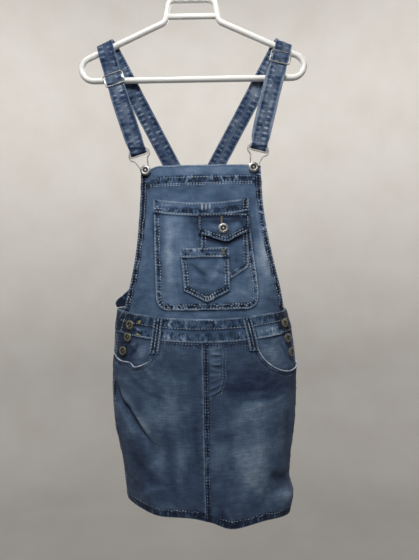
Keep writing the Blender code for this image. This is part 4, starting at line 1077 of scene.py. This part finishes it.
def declare(flat, area, narrow):
    """Says how large the cut piece is when it lies flat."""
    size = (flat.max(axis=0) - flat.min(axis=0)) * MM
    if narrow:
        size[0] = area / size[1]
    return [round(float(side) / MM) for side in size]


def sew(node, family, material, creases, fades_and_shades, seed, rows, thick=1.4, level=0.0, sharp=50.0,
        rough=1.0, lines=(), tacks=(), narrow=False, shades=(), tuck=5.5, thread=FADED_THREAD,
        fine=1.0, calm=None):
    """Makes one cloth piece; lines and tacks are stitched on it too, and shades add painted shade and
    shadow to its wear.
    """
    piece = outer_sheet(node, family.outward, sharp, family is RIBBON)
    points, normals = read_points(piece), read_normals(piece)
    flat = family.flat(points) if family.flat else ribbon_flat(piece)
    relief = fold_height(flat, creases, seed, rough)
    runs = border_runs(piece, flat)
    sewn = [run for run in runs if any(run.side in row.sides for row in rows)] or runs
    along, away = seam_places(points, sewn)
    effects = seam_effects(points, runs, rows, seed, tuck)
    if calm:
        # No tucks at a corner, where a row turns sharply
        corner_distance = np.hypot(*(flat - calm).T)
        effects = [effect * ramp(corner_distance, *CALM) for effect in effects]
    ripple, groove, dark, strip = effects
    # A sewn edge is stiffer, so the folds are lower there
    edge_hold = ramp(away, 0, STIFF_EDGE) * (1 - EDGE_HOLD) + EDGE_HOLD
    height = relief * edge_hold + ripple - GROOVE * groove
    # The wear also takes the painted shade and highlights of the fade tables, and the painted shade of
    # the shades.
    wear_and_shade = (fade_and_shade_strength(flat, fades_and_shades, seed) + RIDGE_WEAR * relief + PUCKER_WEAR * ripple
            + GROOVE_WEAR * groove - dark + level)
    for shade in shades:
        wear_and_shade += shade(points, flat)
    write_points(piece, points + normals * height[:, None])
    mesh = piece.data
    for layer in list(mesh.uv_layers):
        mesh.uv_layers.remove(layer)
    add_uv(mesh, "cloth", flat)
    add_uv(mesh, "seam", np.stack([along / tuck, away], axis=1))
    add_values(mesh, "wear_and_shade", wear_and_shade)
    add_values(mesh, "strip", strip)

    # The folded sheet takes the stitches
    points = read_points(piece)
    faces = [tuple(face.vertices) for face in mesh.polygons]
    tree = BVHTree.FromPolygons([Vector(point) for point in points], faces)
    runs = border_runs(piece, flat)
    trees[node], edges[node] = tree, runs
    laid = stitches_of(tree, family, runs, rows, lines, tacks)
    if laid:
        stitch_piece("thread_" + node, tree, laid, thread, fine)
    area = sum(face.area for face in mesh.polygons)
    apply_modifier(piece, "SOLIDIFY", thickness=thick * MM, offset=-1.0, use_even_offset=False,
                   use_rim=True)
    finish_piece(piece, material, [node], 50)
    print(node, "cut about", declare(flat, area, narrow), "mm,", len(laid), "stitches")


def under(*nodes, width=2.8, depth=0.42, shift=(0, 0, -1.0)):
    """Painted shadow: darkens the cloth beside the edge of a piece that lies on it, moved by shift."""
    spots = np.concatenate([run.points for node in nodes for run in edges[node]]) + shift
    return lambda points, flat: -depth * bell(nearest(spots, points)[1], width)


# %% [markdown]
# ## The bib and its pockets
# The pockets are layers on the bib, so all of them share one table of folds: a fold in the
# bib lifts the pocket on it by the same height, and no layer shows through the next.

# %% Bib and pockets
SIDES = ("left", "right")
ALL_BUT_TOP = ("left", "right", "bottom")
BIB_LOOK = (BIB, BIB_DENIM, BIB_CREASES, BIB_FADES_AND_SHADE, 11)
CORNER_BOX = [(-7, 8), (7, 8), (7, -8), (-7, -8), (-7, 8)]    # a stitched box at a band's end
sew("pocket_flap", *BIB_LOOK, [Rows(("bottom",), (2.2, 6.5), 0, 8, 0.7, 0.22),
                               Rows(("top",), (2.2,), 0, 7, 0.6, 0.55), Rows(SIDES, (2.2,), 0, 4)],
    thick=1.8, level=-0.16)
stitch_piece("buttonhole_flap", trees["pocket_flap"],
             tack(trees["pocket_flap"], BIB, (46, -463), 9, 3.4, 0, 1.6), OCHRE_THREAD)
sew("pocket_small_band", *BIB_LOOK, [Rows(("top", "bottom"), (2.2,), 0, 7, 0.5, 0.10),
                                     Rows(SIDES, (2.2, 7.5))], thick=2.4, tuck=9.0)
stitch_piece("tacks_pocket_small", trees["pocket_small_band"],
             tack(trees["pocket_small_band"], BIB, (48, -517), 6, 7, 0, 1.4), BEIGE_THREAD)
# From here on, each piece gets painted shadow beside the edges of the pieces that lie on it, widest and
# darkest below the flap.
sew("pocket_small", *BIB_LOOK, [Rows(ALL_BUT_TOP, (2.2, 7.5), 0, 9, 0.6, 0.20)], level=-0.03, rough=1.9,
    shades=[under("pocket_small_band")], tacks=[((17, -597), 1, 9, 90), ((21, -599), 1, 10, 90),
                                              ((25, -599), 1, 10, 90), ((29, -597), 1, 9, 90)])
sew("patch_pocket", *BIB_LOOK, [Rows(ALL_BUT_TOP, (2.2, 8.0), 0, 9, 0.5, 0.16)], level=-0.03,
    shades=[under("pocket_flap", width=5.0, depth=0.8, shift=(0, 0, -3.0)), under("pocket_small")])
sew("pocket_large_band", *BIB_LOOK,
    [Rows(("top",), (2.2,), 0, 3, 0.2, 0.05), Rows(("bottom",), (2.2,), 3, 12, 0.6, 0.22),
     Rows(SIDES, (2.2, 8.5))], thick=2.4, tuck=8.0, level=-0.02,
    tacks=[((13, -437), 2, 12, 90), ((20, -437), 2, 12, 90), ((26, -437), 2, 12, 90)],
    lines=[[(x + a, z + b) for a, b in CORNER_BOX] for x, z in ((-63, -432), (91, -432))])
sew("pocket_large", *BIB_LOOK, [Rows(ALL_BUT_TOP, (2.2, 8.5))], level=0.03,
    shades=[under("pocket_large_band"), under("patch_pocket"), under("pocket_small"),
            under("pocket_flap", width=4.5, depth=0.6, shift=(0, 0, -2.0))])
sew("bib", *BIB_LOOK, [Rows(SIDES, (2.5, 9.0), 0, 10, 1.2, 0.50), Rows(("top",), (2.0,), 0, 3, 0.2, 0.0),
                       Rows(("top",), (), 18, 31, 0.8, 0.22)], level=-0.03, tuck=7.0,
    shades=[under("pocket_large")],
    lines=[[(-76, -386.5), (100, -384.5)], [(-78, -398), (102, -394.5)], [(-78, -401), (102, -397.5)]])

# %% [markdown]
# ## The waist
# The waistband is two or three layers sewn flat, with a row along each edge and one along
# its middle, where the layers step: it ripples more than anything else on the dress.

# %% Waistband and loops
BAND_ROWS = [Rows(("top",), (2.0, 16.5), 2, 16, 0.5, 0.04), Rows(("bottom",), (2.0,), 0, 14, 0.5, 0.02),
             Rows(("top",), (), 16.5, 18.5, 0.0, 0.35)]
LOOP_ROWS = [Rows(SIDES, (2.0, 7.5), 2, 6, 0.4, 0.25),
             Rows(("top", "bottom"), (2.5, 4.5), 0, 4, 0.2, 0.0)]
BAND_LOOK = (BIB_DENIM, BAND_CREASES, BAND_FADES_AND_SHADE)
for node in ("belt_loop_left", "belt_loop_right"):
    sew(node, FRONT, BIB_DENIM, [], [], 25, LOOP_ROWS, thick=2.2, rough=0.4, level=-0.10, sharp=60,
        narrow=True)
# Painted shadow beside the belt loops' edges, on the waistband and the skirt fronts.
loop_edge_shadows = [under("belt_loop_left"), under("belt_loop_right")]
sew("waistband_front", FRONT, *BAND_LOOK, 21, BAND_ROWS, thick=2.4, level=-0.05, tuck=9.0, fine=0.8,
    shades=loop_edge_shadows, lines=[[(-138, -614), (-146, -634), (-155, -658)]])
sew("waistband_back", BACK, *BAND_LOOK, 23, BAND_ROWS, thick=2.4, level=-0.08, tuck=11.0, fine=0.8)
holes = tack(trees["waistband_front"], FRONT, (-112, -634), 4, 7, 10, 1.3)
holes += tack(trees["waistband_front"], FRONT, (-113, -656), 4, 6, -25, 1.3)
stitch_piece("buttonholes_left", trees["waistband_front"], holes, OCHRE_THREAD)
print("the left buttonholes have", len(holes), "long stitches")

# %% [markdown]
# ## The skirt
# Four panels make the tube. The fronts are cut away at the top for the pocket mouths, where
# the facings show, and button strips close the side openings behind them.

# %% Skirt panels
SKIRT_LOOK = (SKIRT_DENIM, SKIRT_CREASES, SKIRT_FADES_AND_SHADE)
TOP_ROWS = Rows(("top",), (3.0, 9.0), 0, 9, 0.2, 0.10)
HEM_ROWS = Rows(("bottom",), (12.0,), 0, 12, 0.6, 0.34)
PANEL = {"rough": 1.5, "thread": DULL_THREAD, "fine": 0.75}
# Painted shadow below the waistband's edge, on the skirt fronts and the facings.
band_edge_shadow = under("waistband_front", depth=0.35)
sew("skirt_front_left", FRONT, *SKIRT_LOOK, 31,
    [TOP_ROWS, HEM_ROWS, Rows(("left",), (3.0,), 0, 4), Rows(("right",), (), 0, 2.0, 0.3, -0.05)],
    shades=[band_edge_shadow, *loop_edge_shadows], calm=(-86, -706), **PANEL)
sew("skirt_front_right", FRONT, *SKIRT_LOOK, 31,
    [TOP_ROWS, HEM_ROWS, Rows(("left",), (3.0, 7.5), 0, 8, 0.6, 0.34), Rows(("right",), (3.0,), 0, 4)],
    shades=[band_edge_shadow, *loop_edge_shadows], **PANEL,
    lines=[[(33, -675), (32, -727), (25, -748), (8, -757)],
           [(38, -675), (37, -729), (29, -753), (8, -762)]])
sew("skirt_back_left", BACK, *SKIRT_LOOK, 35,
    [HEM_ROWS, Rows(("left",), (3.0, 8.0)), Rows(("right",), (2.5,), 0, 4)], **PANEL)
sew("skirt_back_right", BACK, *SKIRT_LOOK, 35, [HEM_ROWS, Rows(SIDES, (2.5,), 0, 4)], **PANEL)
# The facings also get painted shadow beside the edges of the front panels over them.
for side, rough, level in (("left", 1.8, -0.08), ("right", 1.2, 0.06)):
    sew("pocket_facing_" + side, FRONT, *SKIRT_LOOK, 31, [Rows(("bottom",), (3.0,), 0, 5, 0.4, 0.1)],
        rough=rough, level=level,
        shades=[band_edge_shadow, under("skirt_front_" + side, depth=0.3, shift=(0, 0, 0.8))])
for node in ("placket_left", "placket_right"):
    sew(node, FRONT, RAW_DENIM, [], [], 37, [Rows((*SIDES, "bottom"), (2.5,), 0, 5)], rough=0.8)

# %% [markdown]
# ## The back yoke and the straps
# The yoke is a rising V that carries the straps. A strap is one long ribbon: only one of its
# faces is kept, as on the panels, and its thickness is put back on the other side.

# %% Yoke and straps
STRAP_END = -334.0      # mm; below it, the front end of a strap is rolled round its hook
STRAP_FADES = [Fade("patch", 15, 60 + 110 * step, 14, 22, 0, 0.22) for step in range(6)]
# The second rows darken each edge's outer 3.6 mm: a dark stitch groove, and painted shade on the rear
# ply where it shows beside the front one.
STRAP_ROWS = [Rows(SIDES, (2.2,), 2, 13, 0.5, 0.08), Rows(SIDES, (), 0, 3.6, 0.0, 0.18)]


def shade_behind_shoulder(points, flat):
    """Painted shade: the plies behind the shoulders are darker, and more so the further back they lie.
    """
    return -0.09 - 0.04 * ramp(points[:, 1], 0, 12)


def rolled_end_shade(points, flat):
    """Painted shade: a dark line where the front end folds round the hook, and the rolled end below it
    darker.
    """
    down = STRAP_END - points[:, 2]
    return np.where(points[:, 1] < 0, -0.5 * bell(down, 2.0) - 0.35 * ramp(down, 6, 14), 0.0)


for node, seed, level in (("strap_left", 51, -0.02), ("strap_right", 52, 0.05)):
    sew(node, RIBBON, STRAP_DENIM, [], STRAP_FADES, seed, STRAP_ROWS, thick=2.0, sharp=75,
        rough=0.25, level=level, narrow=True, tuck=10.0, shades=[shade_behind_shoulder, rolled_end_shade],
        thread=DULL_THREAD, fine=0.7)
sew("back_yoke", YOKE, BIB_DENIM, YOKE_CREASES, YOKE_FADES_AND_SHADE, 41,
    [Rows(SIDES, (2.5, 8.5)), Rows(("bottom",), (2.5,), 0, 4)])

# %% [markdown]
# ## Piping
# The pocket mouths are bound with a narrow strip of bleached denim, rolled round the edge. Here
# it is a thin tube on a curve that follows the mouth's own edge, turned into a mesh.

# %% A tube along a line
def tube_along(name, line, radius, material):
    curve = bpy.data.curves.new(name, "CURVE")
    curve.dimensions = "3D"
    curve.bevel_depth = radius * MM
    curve.bevel_resolution = 3
    curve.use_fill_caps = True
    spline = curve.splines.new("POLY")
    spline.points.add(len(line) - 1)
    for point, place in zip(spline.points, line):
        point.co = (*(np.array(place) * MM), 1)
    piece = bpy.data.objects.new(name, curve)
    bpy.context.collection.objects.link(piece)
    alone(piece)
    bpy.ops.object.convert(target="MESH")
    piece = bpy.context.object
    finish_piece(piece, material, [])


MOUTH_START = {"left": 89.5, "right": 88}      # mm round the tube, where each mouth begins
PIPING_RADIUS, PIPING_RISE = 1.15, 0.5
PIPING = plain_finish("bleached denim piping", "#8FA0B3", "#D3DCE4", 0.85, 0.0, 7.0, 0.2, 0.2)
for side, limit in (("left", -1), ("right", 1)):
    node = "skirt_front_" + side
    spots = np.concatenate([run.points for run in edges[node] if run.side == "top"])
    round_tube = tube_flat(spots)[:, 0] * limit
    mouth = spots[round_tube > MOUTH_START[side]]
    mouth = mouth[np.argsort(tube_flat(mouth)[:, 0])]
    normals = np.array([trees[node].find_nearest(Vector(place))[1][:] for place in mouth])
    tube_along("piping_" + side, mouth + normals * PIPING_RISE, PIPING_RADIUS, PIPING)
    print("piping", side, "is", round(distances(mouth)[-1]), "mm long")

# %% [markdown]
# ## Turned buttons
# A jeans button is a stamped cap over a tack. It is round about its own axis, so it is made
# as on a lathe: a circle is extruded and scaled ring by ring, from the shank up over the rolled
# rim, down into the dished middle and up to the tack's end. Each copy is turned to the axis of the
# CAD button that it stands for.

# %% One button
Turning = namedtuple("Turning", "height radius")
BUTTON = [Turning(-2.6, 0.29), Turning(0.0, 0.29), Turning(0.05, 0.90), Turning(0.25, 0.98),
          Turning(0.7, 1.0), Turning(1.15, 0.98), Turning(1.6, 0.90), Turning(1.95, 0.79),
          Turning(2.1, 0.66), Turning(2.0, 0.54), Turning(1.6, 0.47), Turning(0.9, 0.44),
          Turning(0.65, 0.38), Turning(0.7, 0.27), Turning(1.0, 0.22), Turning(1.5, 0.19),
          Turning(1.65, 0.12)]
BUTTON_SIDES = 32


def turned(name, profile):
    bpy.ops.object.select_all(action="DESELECT")
    bpy.ops.mesh.primitive_circle_add(vertices=BUTTON_SIDES, radius=profile[0].radius,
                                      location=(0, 0, profile[0].height), fill_type="NGON")
    piece = bpy.context.object
    piece.name = name
    bpy.ops.object.transform_apply(location=True, rotation=True, scale=True)
    bpy.ops.object.mode_set(mode="EDIT")
    bpy.ops.mesh.select_all(action="SELECT")
    for low, high in zip(profile, profile[1:]):
        bpy.ops.mesh.extrude_region_move(
            TRANSFORM_OT_translate={"value": (0, 0, high.height - low.height)})
        share = high.radius / low.radius
        bpy.ops.transform.resize(value=(share, share, 1))
    bpy.ops.mesh.select_all(action="SELECT")
    bpy.ops.mesh.normals_make_consistent(inside=False)
    bpy.ops.object.mode_set(mode="OBJECT")
    return piece


def button_frame(node):
    """The middle of a CAD button's rim, its axis outwards, its radius and its head's rise."""
    points = np.array([vertex.co[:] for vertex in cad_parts[node].data.vertices]) / MM
    points = np.unique(points.round(3), axis=0)
    middle = points.mean(axis=0)
    axis = np.linalg.svd(points - middle)[2][2]
    axis = axis if axis[1] < 0 else -axis
    along = (points - middle) @ axis
    off = np.linalg.norm((points - middle) - np.outer(along, axis), axis=1)
    rim = off > off.max() * 0.9
    centre = points[rim].mean(axis=0)
    return centre, axis, off.max(), along.max() - along[rim].mean()


# %% A copy for each button
button = turned("button", BUTTON)
off_axis = np.array([math.hypot(vertex.co.x, vertex.co.y) for vertex in button.data.vertices])
# Painted shade: the dished recess round the tack is darkened almost to black.
recess = ramp(off_axis, 0.20, 0.30) * (1 - ramp(off_axis, 0.42, 0.56))
add_values(button.data, "recess_shade", 0.92 * recess)
HEAD = 2.2              # mm, from a button's foot to just over its rim
for node in [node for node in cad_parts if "button" in node]:
    centre, axis, radius, above = button_frame(node)
    copy = button.copy()
    copy.data = button.data.copy()
    copy.name = "turned_" + node
    bpy.context.collection.objects.link(copy)
    turn = Vector((0, 0, 1)).rotation_difference(Vector(axis)).to_matrix().to_4x4()
    foot = centre + axis * (above - HEAD)
    copy.data.transform(Matrix.Diagonal((radius, radius, 1, 1)))
    copy.data.transform(Matrix.Translation(foot) @ turn)
    copy.data.transform(Matrix.Scale(MM, 4))
    finish_piece(copy, BRASS if node.startswith("side") else NICKEL, [node], 35)
    print(node, "radius", round(float(radius), 1))
bpy.data.objects.remove(button)

# %% [markdown]
# ## Bent wire
# The slides, keepers and hooks are wire. Their CAD bends are right but six-sided, so a copy is
# merged, subdivided once, which rounds it, and swollen by what the rounding took away.

# %% Wires
WIRE_SWELL = 0.12       # mm
for node in ("hook_left", "hook_right", "keeper_left", "keeper_right", "slide_left", "slide_right"):
    wire = merged_copy("wire_" + node, node)
    triangles_to_quads()
    apply_modifier(wire, "SUBSURF", levels=1, render_levels=1)
    write_points(wire, read_points(wire) + read_normals(wire) * WIRE_SWELL)
    finish_piece(wire, NICKEL, [node], 60)
    print(wire.name, "has", len(wire.data.polygons), "faces")

# %% [markdown]
# ## The hanger
# A plastic hanger is moulded as round bars that flow into each other. Here each bar is a circle
# pushed along its straight runs and spun round its bends. The loop is made as one half and
# mirrored; the cross bar and the hook are joined to it by a boolean union.

# %% Bending a bar
Bend = namedtuple("Bend", "x z radius")
BAR_SIDES, SPIN_STEP = 16, 9                # sides round a bar, and degrees per step of a bend
ROUNDED_TIP = ((0.45, 0.85), (0.3, 0.6))    # two steps: how many radii further, how much narrower


def bent_bar(name, start, bends, end, radius, capped=True):
    """A bar in the upright plane, from start to end, with a rounded bend at each corner."""
    corners = [Vector((x, 0, z)) for x, z in (start, *[(bend.x, bend.z) for bend in bends], end)]
    ways = [(b - a).normalized() for a, b in zip(corners, corners[1:])]
    bpy.ops.object.select_all(action="DESELECT")
    bpy.ops.mesh.primitive_circle_add(vertices=BAR_SIDES, radius=radius, location=corners[0],
                                      rotation=ways[0].to_track_quat("Z", "Y").to_euler())
    bar = bpy.context.object
    bar.name = name
    bpy.ops.object.transform_apply(location=True, rotation=True, scale=True)
    bpy.ops.object.mode_set(mode="EDIT")
    bpy.ops.mesh.select_mode(type="VERT")
    bpy.ops.mesh.select_all(action="SELECT")
    here = corners[0]
    for index, bend in enumerate(bends):
        before, after = ways[index], ways[index + 1]
        angle = before.angle(after)
        cut = bend.radius * math.tan(angle / 2)
        bend_start = corners[index + 1] - before * cut
        bpy.ops.mesh.extrude_region_move(TRANSFORM_OT_translate={"value": bend_start - here})
        turn_axis = before.cross(after).normalized()
        centre = bend_start + turn_axis.cross(before) * bend.radius
        bpy.ops.mesh.spin(steps=max(3, round(math.degrees(angle) / SPIN_STEP)), angle=-angle,
                          center=centre, axis=turn_axis)
        here = corners[index + 1] + after * cut
    bpy.ops.mesh.extrude_region_move(TRANSFORM_OT_translate={"value": corners[-1] - here})
    bpy.ops.mesh.select_all(action="SELECT")
    if capped:
        bpy.ops.mesh.fill_holes(sides=0)
        pick_faces(bar, lambda middle, normal: (middle - corners[0]).length < 0.01)
        tip = corners[0]
        for reach, share in ROUNDED_TIP:
            further = -ways[0] * radius * reach
            tip = tip + further
            bpy.ops.mesh.extrude_region_move(TRANSFORM_OT_translate={"value": further})
            bpy.ops.transform.resize(value=(share, share, share), center_override=tip)
        bpy.ops.mesh.select_all(action="SELECT")
        bpy.ops.mesh.normals_make_consistent(inside=False)
    bpy.ops.object.mode_set(mode="OBJECT")
    return bar


# %% The hanger's bars
LOOP_RADIUS, HOOK_RADIUS, CROSSBAR_RADIUS = 5.3, 4.5, 4.8
LOOP_BENDS = [Bend(41.3, -57, 13), Bend(48, -96.5, 15), Bend(201.5, -166.5, 22), Bend(201.5, -201, 22)]
hanger = bent_bar("hanger_bars", (0, -57), LOOP_BENDS, (0, -201), LOOP_RADIUS, capped=False)
apply_modifier(hanger, "MIRROR", use_axis=(True, False, False), merge_threshold=0.01)
alone(hanger)
bpy.ops.object.mode_set(mode="EDIT")
bpy.ops.mesh.select_all(action="SELECT")
bpy.ops.mesh.normals_make_consistent(inside=False)
bpy.ops.object.mode_set(mode="OBJECT")

# The hook is an arc of 265 degrees, bent in three equal parts, and its neck turns upright below it
HOOK_CENTRE, HOOK_ARC, HOOK_FROM, HOOK_TO = -20.0, 24.5, 205.0, -60.0
third = (HOOK_FROM - HOOK_TO) / 3
hook_bends = []
for index in range(3):
    angle = math.radians(HOOK_FROM - third * (index + 0.5))
    reach = HOOK_ARC / math.cos(math.radians(third / 2))
    hook_bends.append(Bend(reach * math.cos(angle), HOOK_CENTRE + reach * math.sin(angle), HOOK_ARC))
tip_angle = math.radians(HOOK_FROM)
tip = (HOOK_ARC * math.cos(tip_angle), HOOK_CENTRE + HOOK_ARC * math.sin(tip_angle))
hook = bent_bar("hook", tip, [*hook_bends, Bend(0, -48.3, 12)], (0, -57), HOOK_RADIUS)
crossbar = bent_bar("crossbar", (-46.5, -87), [], (46.5, -87), CROSSBAR_RADIUS)
for part in (hook, crossbar):
    apply_modifier(hanger, "BOOLEAN", object=part, operation="UNION", solver="MANIFOLD")
    bpy.data.objects.remove(part)
hanger.data.transform(Matrix.Scale(MM, 4))
finish_piece(hanger, WHITE_PLASTIC, ["hanger"], 50)
print("the hanger has", len(hanger.data.polygons), "faces")

# %% [markdown]
# ## The stage
# A round pale cove stands about three metres away on all sides, so no view sees its edge.
# The light is a large soft lamp above the camera, which falls off down the dress, with weaker ones
# at the back and the sides.

# %% The cove
COVE_RADIUS, COVE_FLOOR, COVE_BEND, COVE_WALL = 2.6, -2.2, 0.8, 4.0
COVE_STEP = 10          # degrees
bpy.ops.object.select_all(action="DESELECT")
bpy.ops.mesh.primitive_circle_add(vertices=96, radius=COVE_RADIUS, location=(0, 0, COVE_FLOOR),
                                  fill_type="NGON")
cove = bpy.context.object
cove.name = "cove"
bpy.ops.object.mode_set(mode="EDIT")
bpy.ops.mesh.select_all(action="SELECT")
for angle in range(COVE_STEP, 90 + COVE_STEP, COVE_STEP):
    step = COVE_BEND * math.radians(COVE_STEP)
    rise = math.radians(angle - COVE_STEP / 2)
    wide = COVE_RADIUS + COVE_BEND * math.sin(math.radians(angle - COVE_STEP))
    wider = COVE_RADIUS + COVE_BEND * math.sin(math.radians(angle))
    bpy.ops.mesh.extrude_region_move(TRANSFORM_OT_translate={"value": (0, 0, step * math.sin(rise))})
    bpy.ops.transform.resize(value=(wider / wide, wider / wide, 1))
bpy.ops.mesh.extrude_region_move(TRANSFORM_OT_translate={"value": (0, 0, COVE_WALL)})
bpy.ops.mesh.delete(type="ONLY_FACE")
bpy.ops.object.mode_set(mode="OBJECT")
bpy.ops.object.transform_apply(location=True, rotation=True, scale=True)

paint, tree, shader = new_material("matt plaster")
place = add_node(tree, "ShaderNodeTexCoord").outputs["Object"]
mottle = add_node(tree, "ShaderNodeTexNoise", Vector=place, Scale=3.0, Detail=4.0)
tint = add_node(tree, "ShaderNodeValToRGB", Fac=mottle.outputs[0])
set_ramp(tint, [(0.3, "#CFC9C1"), (0.7, "#D6D1CA")])
tree.links.new(tint.outputs[0], shader.inputs["Base Color"])
shader.inputs["Roughness"].default_value = 0.9
cove.data.materials.append(paint)
alone(cove)
bpy.ops.object.shade_smooth()
cove.visible_diffuse = False
cove.visible_glossy = False
print("the cove is", round(2 * (COVE_RADIUS + COVE_BEND), 1), "m wide")


# %% The lamps
def lamp(name, place, target, size, power):
    light = bpy.data.lights.new(name, "AREA")
    light.shape = "DISK"
    light.size = size
    light.energy = power
    thing = bpy.data.objects.new(name, light)
    thing.location = place
    thing.rotation_euler = (Vector(target) - Vector(place)).to_track_quat("-Z", "Y").to_euler()
    thing.visible_camera = False
    bpy.context.collection.objects.link(thing)


lamp("key", (-0.10, -0.80, 0.45), (0.02, 0.0, -0.40), 0.4, 11)
lamp("back lamp", (0.3, 1.0, 0.5), (0, 0, -0.45), 0.8, 9)
lamp("left fill", (-1.2, 0.7, -0.1), (0, 0, -0.5), 0.8, 2)
lamp("right fill", (1.2, 0.7, 0.0), (0, 0, -0.5), 0.8, 2)
WALL_REACH = COVE_RADIUS + COVE_BEND
for index in range(6):
    round_the_cove = math.radians(60 * index + 30)
    out = Vector((math.sin(round_the_cove), math.cos(round_the_cove), 0))
    for height, power in ((1.5, 33), (0.0, 12)):
        up = Vector((0, 0, height))
        lamp(f"cove wash {index} {height}", out + up, out * WALL_REACH + up, 0.8, power)
world = bpy.data.worlds.new("studio")
bpy.context.scene.world = world
world.use_nodes = True
world.node_tree.nodes["Background"].inputs[0].default_value = colour("#FFFFFF")
world.node_tree.nodes["Background"].inputs[1].default_value = 0.18
bpy.context.scene.view_settings.view_transform = "Standard"
print(len(bpy.data.lights), "lamps")
